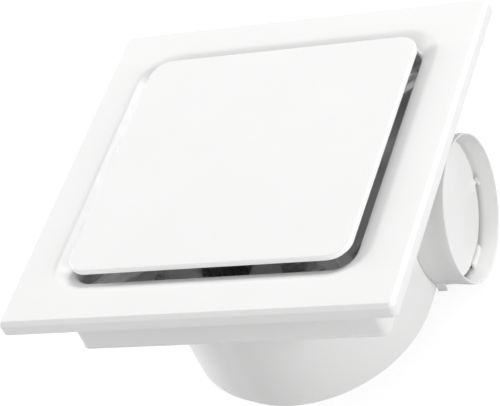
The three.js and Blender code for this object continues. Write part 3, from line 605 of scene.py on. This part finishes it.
def recess_slope(steps):
    """Points (half, z) from the front down the recess's slope and round its lip."""
    lip = RIM_HALF - ROLL_REACH
    points = []
    for k in range(steps + 1):
        angle = RIM_SLOPE * k / steps
        points.append((RIM_HALF - RIM_ROUND * math.sin(angle),
                       Z_FRONT - RIM_ROUND * (1 - math.cos(angle))))
    half, z = points[-1]
    foot = lip + LIP_ROUND * (1 - math.sin(RIM_SLOPE))
    middle = z - (half - foot) * math.tan(RIM_SLOPE) - LIP_ROUND * math.cos(RIM_SLOPE)
    for k in range(steps + 1):
        angle = RIM_SLOPE + (math.pi / 2 - RIM_SLOPE) * k / steps
        points.append((lip + LIP_ROUND * (1 - math.sin(angle)),
                       middle + LIP_ROUND * math.cos(angle)))
    points.append((lip, Z_FRONT - ROLL_DROP))
    return points


def rim_back(start, end, steps):
    """Points (half, z) of the rim's hollow back, a quarter of an ellipse."""
    reach, drop = ROLL_REACH - SKIRT_WALL, ROLL_DROP - SKIRT_WALL
    first, last = (math.asin(min(1.0, (RIM_HALF - half) / reach)) for half in (start, end))
    points = []
    for i in range(steps + 1):
        angle = first + (last - first) * i / steps
        points.append((RIM_HALF - reach * math.sin(angle),
                       Z_FRONT - ROLL_DROP + drop * math.cos(angle)))
    return points


def outer_loop(half, z):
    """Loop of the fascia's outer edge, whose corners keep their centres."""
    return square_loop(half, max(MIN_CORNER, FASCIA_CORNER - FASCIA_HALF + half), z)


def recess_loop(half, z):
    return square_loop(half, recess_corner(half), z)


def corner_turns():
    """Turns about Z that take the +X axis to the four corners."""
    return [Matrix.Rotation(math.radians(45 + 90 * i), 4, "Z") for i in range(4)]


def fascia_frame():
    """Bevelled square frame whose front slopes down into the recess, hollow behind."""
    skin = FASCIA_SKIN
    edge = filleted([
        (FASCIA_HALF - skin, Z_CEILING, 0.4),
        (FASCIA_HALF, Z_CEILING, 0.4),
        (FASCIA_HALF, Z_FRONT - FASCIA_BEVEL, 0.8),
        (FASCIA_HALF - FASCIA_BEVEL, Z_FRONT, 0.8),
        (RIM_HALF, Z_FRONT, 0),
        (RIM_HALF, Z_FRONT - SKIRT_WALL, 0),
        (FASCIA_HALF - skin - 1, Z_FRONT - SKIRT_WALL, 0.5),
        (FASCIA_HALF - skin, Z_FRONT - FASCIA_BEVEL - 1, 0.5),
    ])
    split = edge.index((RIM_HALF, Z_FRONT))
    under = edge.index((RIM_HALF, Z_FRONT - SKIRT_WALL))
    lip = RIM_HALF - ROLL_REACH
    lip_z = Z_FRONT - ROLL_DROP
    lip_round = SKIRT_WALL / 2
    lip_end = [(lip + lip_round * (1 - math.cos(a)), lip_z - lip_round * math.sin(a))
               for a in (math.pi * k / 8 for k in range(1, 8))]
    behind = rim_back(lip + SKIRT_WALL, SKIRT_IN, 10)
    skirt = filleted([
        (SKIRT_IN, behind[-1][1], 0),
        (SKIRT_IN, Z_SKIRT_EDGE, 0.6),
        (SKIRT_OUT, Z_SKIRT_EDGE, 0.6),
        (SKIRT_OUT, behind[-1][1], 0),
    ])[1:-1]
    inner = recess_slope(8)[1:] + lip_end + behind + skirt
    inner += rim_back(SKIRT_OUT, RIM_HALF, 6)[:-1]
    loops = [outer_loop(half, z) for half, z in edge[:split]]
    loops.append(recess_loop(RIM_HALF, Z_FRONT))
    loops += [recess_loop(half, z) for half, z in inner]
    loops.append(recess_loop(RIM_HALF, Z_FRONT - SKIRT_WALL))
    loops += [outer_loop(half, z) for half, z in edge[under + 1:]]
    shell = mesh_object("fascia_shell", loft(loops, True))
    near = diagonal(SKIRT_IN, recess_corner(SKIRT_IN)) - SLOT_MARGIN
    slot = block(near, near + SKIRT_WALL + 2 * SLOT_MARGIN, -SLOT_WIDTH / 2, SLOT_WIDTH / 2,
                 Z_BRACKET - FIT, Z_BRACKET - FIT + SLOT_HEIGHT)
    return boolean(shell, [slot.moved(turn) for turn in corner_turns()], "DIFFERENCE")


# ---------------------------------------------------------------- front panel


def front_panel():
    """Shallow tray with a slight crown, four snap posts and crossed ribs behind."""
    bottom = PANEL_TOP - PANEL_EDGE
    outer = [(PANEL_HALF - 0.4, bottom), (PANEL_HALF, bottom + 0.4)]
    for k in range(9):
        angle = math.radians(90 * k / 8)
        outer.append((PANEL_HALF - PANEL_ROUND * (1 - math.cos(angle)),
                      PANEL_TOP - PANEL_ROUND * (1 - math.sin(angle))))
    loops = [square_loop(half, PANEL_CORNER - (PANEL_HALF - half), z) for half, z in outer]
    flat = PANEL_HALF - PANEL_ROUND
    for share in (0.985, 0.93, 0.82, 0.68, 0.52, 0.36, 0.2, 0.06):
        rise = PANEL_CROWN * (1 - share * share)
        corner = (PANEL_CORNER - PANEL_ROUND) * share
        loops.append(square_loop(flat * share, corner, PANEL_TOP + rise))
    tray = loft(loops, False)
    skin = PANEL_HALF - PANEL_SKIN
    under = PANEL_TOP - PANEL_SKIN
    hollow = loft([square_loop(skin, PANEL_CORNER - PANEL_SKIN, bottom - 1),
                   square_loop(skin, PANEL_CORNER - PANEL_SKIN, under - 0.8),
                   square_loop(skin - 0.8, PANEL_CORNER - PANEL_SKIN - 0.8, under)], False)
    shape = shape_of(boolean(mesh_object("front_panel_shell", tray), [hollow], "DIFFERENCE"))
    tip = PANEL_LOW.z
    post = turned([(0, tip), (POST_RADIUS - 1.6, tip), (POST_RADIUS - 0.5, tip + 1.0),
                   (POST_RADIUS, tip + 2.4), (POST_RADIUS, under - 1.5),
                   (POST_RADIUS + 1.3, under + 0.5), (0, under + 0.5)])
    for sx, sy in CORNERS:
        shape.add(post.moved(Matrix.Translation((sx * POST_PITCH / 2, sy * POST_PITCH / 2, 0))))
    reach = skin + RIB_OVERLAP
    low, high = bottom + 1, under + RIB_OVERLAP
    for side in (-1, 1):
        at = side * POST_PITCH / 2
        shape.add(block(-reach, reach, at - RIB_HALF, at + RIB_HALF, low, high))
        shape.add(block(at - RIB_HALF, at + RIB_HALF, -reach, reach, low, high))
    return mesh_object("front_panel_shell", shape)


# ---------------------------------------------------------------- housing


def screw_bore(node, z0, z1):
    """Cutting rod on the axis of a CAD screw."""
    return rod(SCREW_HOLE, z0, z1, *centre_xy(node), SCREW_SIDES)


def body_housing():
    """Square box with a turned-out floor edge, corner pillars and fixing holes."""
    inner = BODY_HALF - BODY_WALL
    floor_top = Z_BODY + FLOOR_THICK
    section = [(BODY_HALF + 0.5, Z_BODY), (BODY_HALF + FLOOR_EDGE, Z_BODY + 0.3),
               (BODY_HALF + FLOOR_EDGE, Z_BODY + 1.1), (BODY_HALF + 0.5, Z_BODY + 1.4),
               (BODY_HALF + 0.1, Z_BODY + 1.4), (BODY_HALF, Z_BODY + 1.7),
               (BODY_HALF, Z_HOUSING_RIM - 0.6), (BODY_HALF - 0.6, Z_HOUSING_RIM),
               (inner + 0.5, Z_HOUSING_RIM), (inner, Z_HOUSING_RIM - 0.5),
               (inner, floor_top + 1.5), (inner - 0.45, floor_top + 0.45), (inner - 1.5, floor_top)]
    loops = [square_loop(half, max(BODY_MIN_CORNER, BODY_CORNER - BODY_HALF + half), z)
             for half, z in section]
    box = mesh_object("body_shell", loft(loops, False))
    posts = []
    bores = []
    for sx, sy in CORNERS:
        x, y = sx * PILLAR_PITCH / 2, sy * PILLAR_PITCH / 2
        posts.append(rod(PILLAR_RADIUS, floor_top - PILLAR_ROOT, Z_BRACKET - FIT, x, y))
        bores.append(rod(SCREW_HOLE, Z_BRACKET - SCREW_LENGTH, Z_BRACKET + PAST, x, y, SCREW_SIDES))
    low, high = Z_BODY - PAST, floor_top + PAST
    holes = [rod(BELL_OUTER - BELL_FLANGE, low, high, AXIS_X, AXIS_Y, OPENING_SIDES),
             rod(WIRE_RADIUS, low, high, TERMINAL_X, TERMINAL_Y + WIRE_OFFSET)]
    holes += [screw_bore(node, low, high) for node in frame["nodes"]
              if node.startswith(("inlet_screw", "casing_screw"))]
    across = rod(FIXING_RADIUS, -BODY_HALF - 5, BODY_HALF + 5, 0, 0, 28)
    middle = (floor_top + Z_HOUSING_RIM) / 2
    for end in (-1, 1):
        place = Matrix.Translation((end * FIXING_PITCH / 2, 0, middle))
        holes.append(across.moved(place @ Matrix.Rotation(QUARTER_TURN, 4, "X")))
    boolean(box, posts, "UNION")
    return boolean(box, holes + bores, "DIFFERENCE")


def inlet_bell():
    """Bell-mouth ring: a flange that curves down into the throat."""
    top = BELL_HIGH.z
    centre_r = THROAT_RADIUS + BELL_ROUND
    centre_z = top - BELL_ROUND

    def arc(radius, start, end):
        angles = [math.radians(start + (end - start) * i / 16) for i in range(17)]
        return [(centre_r - radius * math.cos(a), centre_z + radius * math.sin(a)) for a in angles]

    lip = BELL_LOW.z
    rounded = BELL_WALL / 2
    edge = 0.3
    outline = [(BELL_OUTER, top - BELL_WALL + edge), (BELL_OUTER, top - edge),
               (BELL_OUTER - edge, top)]
    outline += arc(BELL_ROUND, 90, 0)
    outline += [(THROAT_RADIUS + rounded * (1 - math.cos(a)), lip + rounded * (1 - math.sin(a)))
                for a in (math.pi * k / 6 for k in range(7))]
    outline += arc(BELL_ROUND - BELL_WALL, 0, 90)
    outline += [(BELL_OUTER - edge, top - BELL_WALL)]
    bell = mesh_object("bell_ring", lathe(outline, ROUND_SIDES).moved(TO_AXIS))
    bores = [screw_bore(node, top - 5, top + 5) for node in numbered("inlet_screw", 4)]
    return boolean(bell, bores, "DIFFERENCE")


# ---------------------------------------------------------------- scroll casing


def scroll_radius(angle):
    """Distance from the axis to the casing: a round wall, then a logarithmic spiral."""
    return DRUM_RADIUS * math.exp(SCROLL_GROWTH * max(0.0, SCROLL_START - angle))


def scroll_loop(inset, z):
    steps = 180
    loop = [(OUTLET_X - inset, SCROLL_TOP - inset, z), (OUTLET_X - inset, AXIS_Y, z)]
    for i in range(1, steps + 1):
        angle = SCROLL_END * i / steps
        r = scroll_radius(angle) - inset
        turn = math.radians(angle)
        loop.append((AXIS_X + r * math.cos(turn), AXIS_Y + r * math.sin(turn), z))
    return loop


SPIGOT_PLACE = Matrix.Translation((OUTLET_X, SPIGOT_Y, SPIGOT_Z))
TO_SPIGOT = SPIGOT_PLACE @ Matrix.Rotation(QUARTER_TURN, 4, "Y")


def outlet_pipe(radius, front):
    """Round outlet along the spigot's axis, closed by a dome inside the scroll."""
    dome = []
    for k in range(17):
        angle = math.radians(90 * k / 16)
        dome.append((radius * math.sin(angle),
                     -TROUGH_LENGTH - (TROUGH_DOME - PIPE_RADIUS + radius) * math.cos(angle)))
    return turned(dome + [(radius, front), (0, front)], 144).moved(TO_SPIGOT)


def volute_casing():
    """Scroll casing with rounded edges, outlet pipe, screw bosses and motor opening."""
    levels = [(CASE_ROUND * (1 - math.sin(a)), Z_END + CASE_ROUND * (1 - math.cos(a)))
              for a in (math.radians(15 * k) for k in range(7))]
    outside = loft([scroll_loop(inset, z) for inset, z in levels + [(0, CASE_TOP)]], False)
    floor = Z_END + CASE_WALL
    levels = ((1.0, floor), (0.3, floor + 0.3), (0, floor + 1.0), (0, CASE_TOP + 5))
    inside = loft([scroll_loop(CASE_WALL + inset, z) for inset, z in levels], False)
    casing = mesh_object("casing_shell", outside)
    boolean(casing, [outlet_pipe(PIPE_RADIUS, 0)], "UNION")
    boolean(casing, [inside], "DIFFERENCE")
    boolean(casing, [outlet_pipe(PIPE_RADIUS - CASE_WALL, 5)], "DIFFERENCE")
    bosses = []
    low, high = Z_END - PAST, floor + PAST
    bores = [rod(MOTOR_OPENING, low, high, AXIS_X, AXIS_Y, OPENING_SIDES)]
    for node in numbered("casing_screw", 5):
        bosses.append(rod(BOSS_RADIUS, CASE_TOP - BOSS_LENGTH, CASE_TOP, *centre_xy(node)))
        bores.append(screw_bore(node, CASE_TOP - SCREW_LENGTH, CASE_TOP + PAST))
    bores += [screw_bore(node, low, high) for node in numbered("plate_screw", 4)]
    boolean(casing, bosses, "UNION")
    return boolean(casing, bores, "DIFFERENCE")


# ---------------------------------------------------------------- spigot and flap


def sector(inner, outer, z0, z1, start, end, steps=40):
    """Piece of a flat ring between two angles, in degrees."""
    angles = [math.radians(start + (end - start) * i / steps) for i in range(steps + 1)]
    loops = [[(r * math.cos(a), r * math.sin(a), z) for r, z in
              ((inner, z0), (outer, z0), (outer, z1), (inner, z1))] for a in angles]
    return loft(loops, False)


def soft_block(x0, x1, y0, y1, z0, z1, edge=0.5):
    """Block with rounded upright edges and chamfered ends."""
    chamfer = edge * 0.6

    def loop(inset, z):
        turn = filleted([(x0 + inset, y0 + inset, edge), (x1 - inset, y0 + inset, edge),
                         (x1 - inset, y1 - inset, edge), (x0 + inset, y1 - inset, edge)], 3)
        return [(x, y, z) for x, y in turn]

    return loft([loop(chamfer, z0), loop(0, z0 + chamfer), loop(0, z1 - chamfer),
                 loop(chamfer, z1)], False)


def spigot_adaptor():
    """Round spigot: sleeve, collar, flap seat, stop, pivot ears and locking lugs."""
    sleeve = PIPE_RADIUS - CASE_WALL - FIT
    collar = SPIGOT_LENGTH - SPIGOT_COLLAR
    mouth = SPIGOT_RADIUS - SPIGOT_WALL
    tube = filleted([
        (sleeve - SPIGOT_WALL, -SLEEVE_DEPTH, 0.4), (sleeve, -SLEEVE_DEPTH, 0.4), (sleeve, FIT, 0),
        (PIPE_RADIUS, FIT, 0.4), (PIPE_RADIUS, collar - 9, TAPER_ROUND),
        (SPIGOT_RADIUS, collar + 4, TAPER_ROUND), (SPIGOT_RADIUS, SPIGOT_LENGTH, 0.7),
        (mouth, SPIGOT_LENGTH, 0.7), (mouth, collar + 6, MOUTH_ROUND),
        (BORE_RADIUS, collar - 3, MOUTH_ROUND), (BORE_RADIUS, 2.5, 0.6),
        (sleeve - SPIGOT_WALL, 0.5, 0.6)], 4)
    shape = lathe(tube, ROUND_SIDES)
    wall = BORE_RADIUS + 0.5
    seat = BORE_RADIUS - SEAT_WIDTH
    seat_half = math.degrees(math.acos((FLAP_PIVOT - 7) / seat))
    shape.add(sector(seat, wall, FLAP_BACK - FIT - SEAT_THICK, FLAP_BACK - FIT,
                     seat_half, 360 - seat_half, 96))
    stop_half = math.degrees(math.asin(STOP_HALF / BORE_RADIUS))
    shape.add(sector(BORE_RADIUS - STOP_WIDTH, wall, FLAP_FACE + FIT,
                     FLAP_FACE + FIT + STOP_THICK, -stop_half, stop_half))
    for side in (-1, 1):
        outer = math.sqrt(wall ** 2 - (FLAP_PIVOT + EAR_HALF) ** 2)
        y0, y1 = sorted((side * (CHORD - 0.4), side * outer))
        shape.add(soft_block(FLAP_PIVOT - EAR_HALF, FLAP_PIVOT + EAR_HALF, y0, y1,
                             PIVOT_DEPTH - EAR_DEPTH, PIVOT_DEPTH + EAR_DEPTH))
        y = side * PIPE_RADIUS * LUG_SPREAD
        surface = math.sqrt(PIPE_RADIUS ** 2 - y ** 2)
        shape.add(soft_block(surface - 2, surface + LUG_LENGTH, y - LUG_HALF, y + LUG_HALF,
                             FIT, FIT + LUG_WIDTH, 0.45))
    return mesh_object("spigot_shell", shape.moved(TO_SPIGOT))


def backdraft_flap():
    """Flat disc with a rounded edge, notches at its pivots and two stub pins."""
    thick = FLAP_FACE - FLAP_BACK
    edge = thick * 0.4
    rim = FLAP_RADIUS - FLAP_TRIM
    outline = [(0, FLAP_BACK), (rim - edge, FLAP_BACK)]
    outline += [(rim - edge * (1 - math.sin(a)), FLAP_BACK + edge * (1 - math.cos(a)))
                for a in (math.radians(30 * k) for k in range(1, 4))]
    outline += [(rim - edge * (1 - math.cos(a)), FLAP_FACE - edge * (1 - math.sin(a)))
                for a in (math.radians(30 * k) for k in range(4))]
    outline.append((0, FLAP_FACE))
    disc = mesh_object("flap_disc", turned(outline, 144))
    far = 80
    notches = []
    for side in (-1, 1):
        y0, y1 = sorted((side * (CHORD - NOTCH_DEPTH), side * far))
        notches.append(block(FLAP_PIVOT - NOTCH_HALF, FLAP_PIVOT + NOTCH_HALF, y0, y1,
                             FLAP_BACK - PAST, FLAP_FACE + PAST))
    boolean(disc, notches, "DIFFERENCE")
    tip = math.sqrt(PIPE_RADIUS ** 2 - FLAP_PIVOT ** 2) - 0.4
    pins = []
    for side in (-1, 1):
        y0, y1 = sorted((side * (CHORD - 9), side * tip))
        pin = rod(PIN_RADIUS, y0, y1, 0, 0, 24).moved(Matrix.Rotation(-QUARTER_TURN, 4, "X"))
        pins.append(pin.moved(Matrix.Translation((FLAP_PIVOT, 0, PIVOT_DEPTH))))
    boolean(disc, pins, "UNION")
    place = Matrix.Translation(TO_SPIGOT.translation * MM)
    disc.data.transform(place @ TO_SPIGOT.to_3x3().to_4x4())
    return disc


# ---------------------------------------------------------------- wheel


def blade_side(offset, steps=8):
    """Points along one side of a forward-curved blade."""
    outer = WHEEL_RADIUS - 0.6
    inner = outer - BLADE_CHORD
    points = []
    for i in range(steps + 1):
        t = i / steps
        r = inner + (outer - inner) * t
        angle = -0.055 * math.sin(math.pi * min(1.0, t * 1.05)) + 0.1 * t * t + offset / r
        points.append((r * math.cos(angle), r * math.sin(angle)))
    return points


def impeller():
    """Squirrel-cage wheel: dished plate with a hub, a band and curved blades."""
    plate = WHEEL_LOW.z
    top = BAND_TOP
    crown = HUB_TOP - HUB_HEIGHT
    dish = MOTOR_RADIUS + 8
    profile = filleted([
        (WHEEL_BORE, crown - 3, 0.3), (HUB_RADIUS, crown - 3, 0.5), (HUB_RADIUS, crown, 0),
        (dish - 5, crown, 2.5), (dish, plate, 1.5),
        (WHEEL_RADIUS, plate, 0.5), (WHEEL_RADIUS, plate + WHEEL_PLATE, 0.5),
        (dish + 1.6, plate + WHEEL_PLATE, 1.5), (dish - 3.4, crown + 2, 3.5),
        (HUB_RADIUS + 1, crown + 2, 1.2), (HUB_RADIUS, crown + HUB_HEIGHT, 0.6),
        (WHEEL_BORE, crown + HUB_HEIGHT, 0.4)], 4)
    shape = lathe(profile, OPENING_SIDES)
    band = filleted([
        (WHEEL_RADIUS - BAND_WIDTH, top - BAND_HEIGHT, 0.4), (WHEEL_RADIUS, top - BAND_HEIGHT, 0.4),
        (WHEEL_RADIUS, top, 0.6), (WHEEL_RADIUS - BAND_WIDTH, top, 0.6)], 3)
    shape.add(lathe(band, OPENING_SIDES))
    section = blade_side(-BLADE_THICK / 2) + blade_side(BLADE_THICK / 2)[::-1]
    ends = (plate + WHEEL_PLATE - 0.6, top - 2.4)
    blade = loft([[(x, y, z) for x, y in section] for z in ends], False)
    for i in range(BLADE_COUNT):
        shape.add(blade.moved(Matrix.Rotation(2 * math.pi * i / BLADE_COUNT, 4, "Z")))
    return mesh_object("wheel", shape.moved(TO_AXIS))


# ---------------------------------------------------------------- small pieces


def screw_mesh(length):
    """Pan-head screw with a cross recess and a thread, its head standing on z = 0."""
    shank, head, height = SCREW_SHANK, SCREW_HEAD_RADIUS, SCREW_HEAD_HEIGHT
    dome = [(head * math.cos(a), height * math.sin(a) ** 0.8)
            for a in (math.radians(10 * k) for k in range(1, 9))]
    outline = [(0, -length), (shank * 0.5, -length + 0.4), (shank * 0.85, -length + 1.4)]
    root = shank * 0.84
    for k in range(int((length - 2) / SCREW_PITCH)):
        z = -length + 1.6 + SCREW_PITCH * k
        outline += [(root, z), (shank, z + 0.35), (root, z + 0.7)]
    outline += [(shank * 0.9, -0.1), (head - 0.2, 0), (head, 0.25)] + dome + [(0, height)]
    screw = mesh_object("screw", turned(outline, 32))
    reach, wing, low, high = CROSS_REACH, CROSS_HALF, height - CROSS_DEPTH, height + PAST
    cross = [block(-reach, reach, -wing, wing, low, high),
             block(-wing, wing, -reach, reach, low, high)]
    return boolean(screw, cross, "DIFFERENCE")


def fit_screws(names, length, points_down=True):
    """Puts a copy of one screw in the place of each CAD screw."""
    master = screw_mesh(length)
    for name in names:
        low, high = box_mm(name)
        seat = high.z - SCREW_HEAD_HEIGHT if points_down else low.z + SCREW_HEAD_HEIGHT
        place = Matrix.Translation(Vector((*centre_xy(name), seat)) * MM)
        if not points_down:
            place = place @ Matrix.Rotation(math.pi, 4, "X")
        mesh = master.data.copy()
        mesh.transform(place @ Matrix.Rotation(random.uniform(0, math.pi), 4, "Z"))
        finished(linked(f"{name}_head", mesh), name, "zinc", 35)
    bpy.data.objects.remove(master)


def cable_gland():
    """Cable inlet with a hexagonal body and a ribbed dome nut, pointing along -X."""
    low, high = box_mm("cable_gland")
    radius = (high.z - low.z) / 2
    length = high.x - low.x - GLAND_ROOT
    bore = radius - 3.7
    thread = radius - 2.3
    neck = radius - 1.0
    outline = filleted([(bore, -GLAND_ROOT, 0.2), (thread, -GLAND_ROOT, 0.3), (thread, FIT, 0),
                        (neck, FIT, 0), (neck, length - 3, 0.8), (radius - 2.4, length, 0.8),
                        (bore, length, 0.4)], 3)
    shape = lathe(outline, GLAND_SIDES)
    flats = []
    for z in (FIT, 4.0):
        flats.append([(radius * math.cos(a), radius * math.sin(a), z)
                      for a in (math.radians(60 * k) for k in range(6))])
    ring = [(thread, FIT + 0.2), (radius - 1.2, FIT + 0.2), (radius - 1.2, 3.8), (thread, 3.8)]
    shape.add(lathe(ring, GLAND_SIDES))
    rib = block(radius - 1.3, radius - 0.55, -0.35, 0.35, 5.0, length - 3.4)
    for i in range(GLAND_RIBS):
        shape.add(rib.moved(Matrix.Rotation(2 * math.pi * i / GLAND_RIBS, 4, "Z")))
    hexagon = mesh_object("gland_hexagon", loft(flats, False))
    boolean(hexagon, [rod(thread - 0.2, -1, 6, 0, 0, GLAND_SIDES)], "DIFFERENCE")
    shape.add(shape_of(hexagon))
    place = Matrix.Translation((high.x - GLAND_ROOT, (low.y + high.y) / 2, (low.z + high.z) / 2))
    turn = Matrix.Rotation(-QUARTER_TURN, 4, "Y")
    return mesh_object("gland_body", shape.moved(place @ turn))


# ---------------------------------------------------------------- stage and light, in metres

FLOOR_HALF = 6.0
FLOOR_DROP = 0.0005
FLOOR_BOUNCE = 0.4
FLOOR_SHADE = 0.25
FLOOR_GLOW = 0.86
WORLD_STRENGTH = 0.5
LIGHT_TARGET = Vector((0, 0, 0.12))
LIGHTS = (  # name, place, width of the soft box, watts
    ("back", (0.49, 2.79, 2.95), 1.4, 60.0),
    ("right", (3.81, -0.67, 1.16), 1.6, 72.0),
    ("left", (-3.75, 0.93, 1.16), 1.2, 80.0),
    ("front", (0.0, -3.63, 1.81), 2.2, 14.0),
    ("front_left", (-2.53, -3.02, 0.81), 1.6, 18.0),
)


def grey(value):
    return (value, value, value, 1)


def make_stage():
    """Pale floor that the camera sees as white, with the object's shadow kept on it."""
    size = FLOOR_HALF
    mesh = bpy.data.meshes.new("floor")
    mesh.from_pydata([(-size, -size, 0), (size, -size, 0), (size, size, 0), (-size, size, 0)],
                     [], [(0, 1, 2, 3)])
    floor = linked("floor", mesh)
    floor.location.z = -FLOOR_DROP
    material = bpy.data.materials.new("floor_paint")
    material.use_nodes = True
    tree = material.node_tree
    tree.nodes.remove(tree.nodes["Principled BSDF"])
    paint = tree.nodes.new("ShaderNodeBsdfDiffuse")
    paint.inputs["Color"].default_value = grey(FLOOR_BOUNCE)
    shadow = tree.nodes.new("ShaderNodeBsdfDiffuse")
    shadow.inputs["Color"].default_value = grey(FLOOR_SHADE)
    glow = tree.nodes.new("ShaderNodeEmission")
    glow.inputs["Strength"].default_value = FLOOR_GLOW
    seen = tree.nodes.new("ShaderNodeAddShader")
    tree.links.new(shadow.outputs[0], seen.inputs[0])
    tree.links.new(glow.outputs[0], seen.inputs[1])
    path = tree.nodes.new("ShaderNodeLightPath")
    either = tree.nodes.new("ShaderNodeMath")
    either.operation = "MAXIMUM"
    tree.links.new(path.outputs["Is Camera Ray"], either.inputs[0])
    tree.links.new(path.outputs["Is Glossy Ray"], either.inputs[1])
    choice = tree.nodes.new("ShaderNodeMixShader")
    tree.links.new(either.outputs[0], choice.inputs["Fac"])
    tree.links.new(paint.outputs[0], choice.inputs[1])
    tree.links.new(seen.outputs[0], choice.inputs[2])
    tree.links.new(choice.outputs[0], tree.nodes["Material Output"].inputs["Surface"])
    mesh.materials.append(material)


def area_light(name, place, size, power):
    data = bpy.data.lights.new(name, "AREA")
    data.shape = "DISK"
    data.size = size
    data.energy = power
    light = linked(name, data)
    light.location = place
    light.rotation_mode = "QUATERNION"
    light.rotation_quaternion = (LIGHT_TARGET - Vector(place)).to_track_quat("-Z", "Y")


def make_light():
    """Studio light: soft boxes at both sides and behind, weak ones in front and an even fill."""
    world = bpy.data.worlds.new("studio")
    bpy.context.scene.world = world
    world.use_nodes = True
    background = world.node_tree.nodes["Background"]
    background.inputs["Color"].default_value = grey(1)
    background.inputs["Strength"].default_value = WORLD_STRENGTH
    for light in LIGHTS:
        area_light(*light)


# ---------------------------------------------------------------- putting it together

make_camera()
make_stage()
make_light()
finished(fascia_frame(), "fascia_frame", "fascia_white", 32)
finished(front_panel(), "front_panel", "fascia_white", 32, body="panel")
finished(body_housing(), "body_housing", "casing_white", 32)
finished(inlet_bell(), "inlet_bell", "casing_white")
finished(volute_casing(), "volute_casing", "casing_white", 26)
finished(spigot_adaptor(), "spigot_adaptor", "casing_white", 36)
finished(backdraft_flap(), "backdraft_flap", "fascia_white", 40, body="flap")
finished(impeller(), "impeller", "wheel_grey", 40, body="rotor")
finished(cable_gland(), "cable_gland", "rubber")
fit_screws(numbered("fascia_screw", 4), SCREW_LENGTH)
fit_screws(numbered("inlet_screw", 4), 9)
fit_screws(numbered("casing_screw", 5), SCREW_LENGTH)
fit_screws(numbered("motor_screw", 3), SCREW_LENGTH)
fit_screws(numbered("plate_screw", 4), 6, points_down=False)
fit_screws(["terminal_cover_screw"], 9.6, points_down=False)

SLOTS = {entry["node"]: entry["material_slot"] for entry in frame["record"]["subparts"]}
for node, obj in frame["nodes"].items():
    obj.data.materials.clear()
    obj.data.materials.append(MATERIALS[SLOTS[node]])
    if node in replaced_nodes:
        continue
    edges = obj.modifiers.new("edges", "BEVEL")
    edges.width = 0.35 * MM
    edges.segments = 2
    edges.limit_method = "ANGLE"
    edges.angle_limit = math.radians(45)
    obj.data.shade_smooth()
    obj.data.set_sharp_from_angle(angle=math.radians(40))

bpy.context.scene.view_settings.view_transform = "Standard"
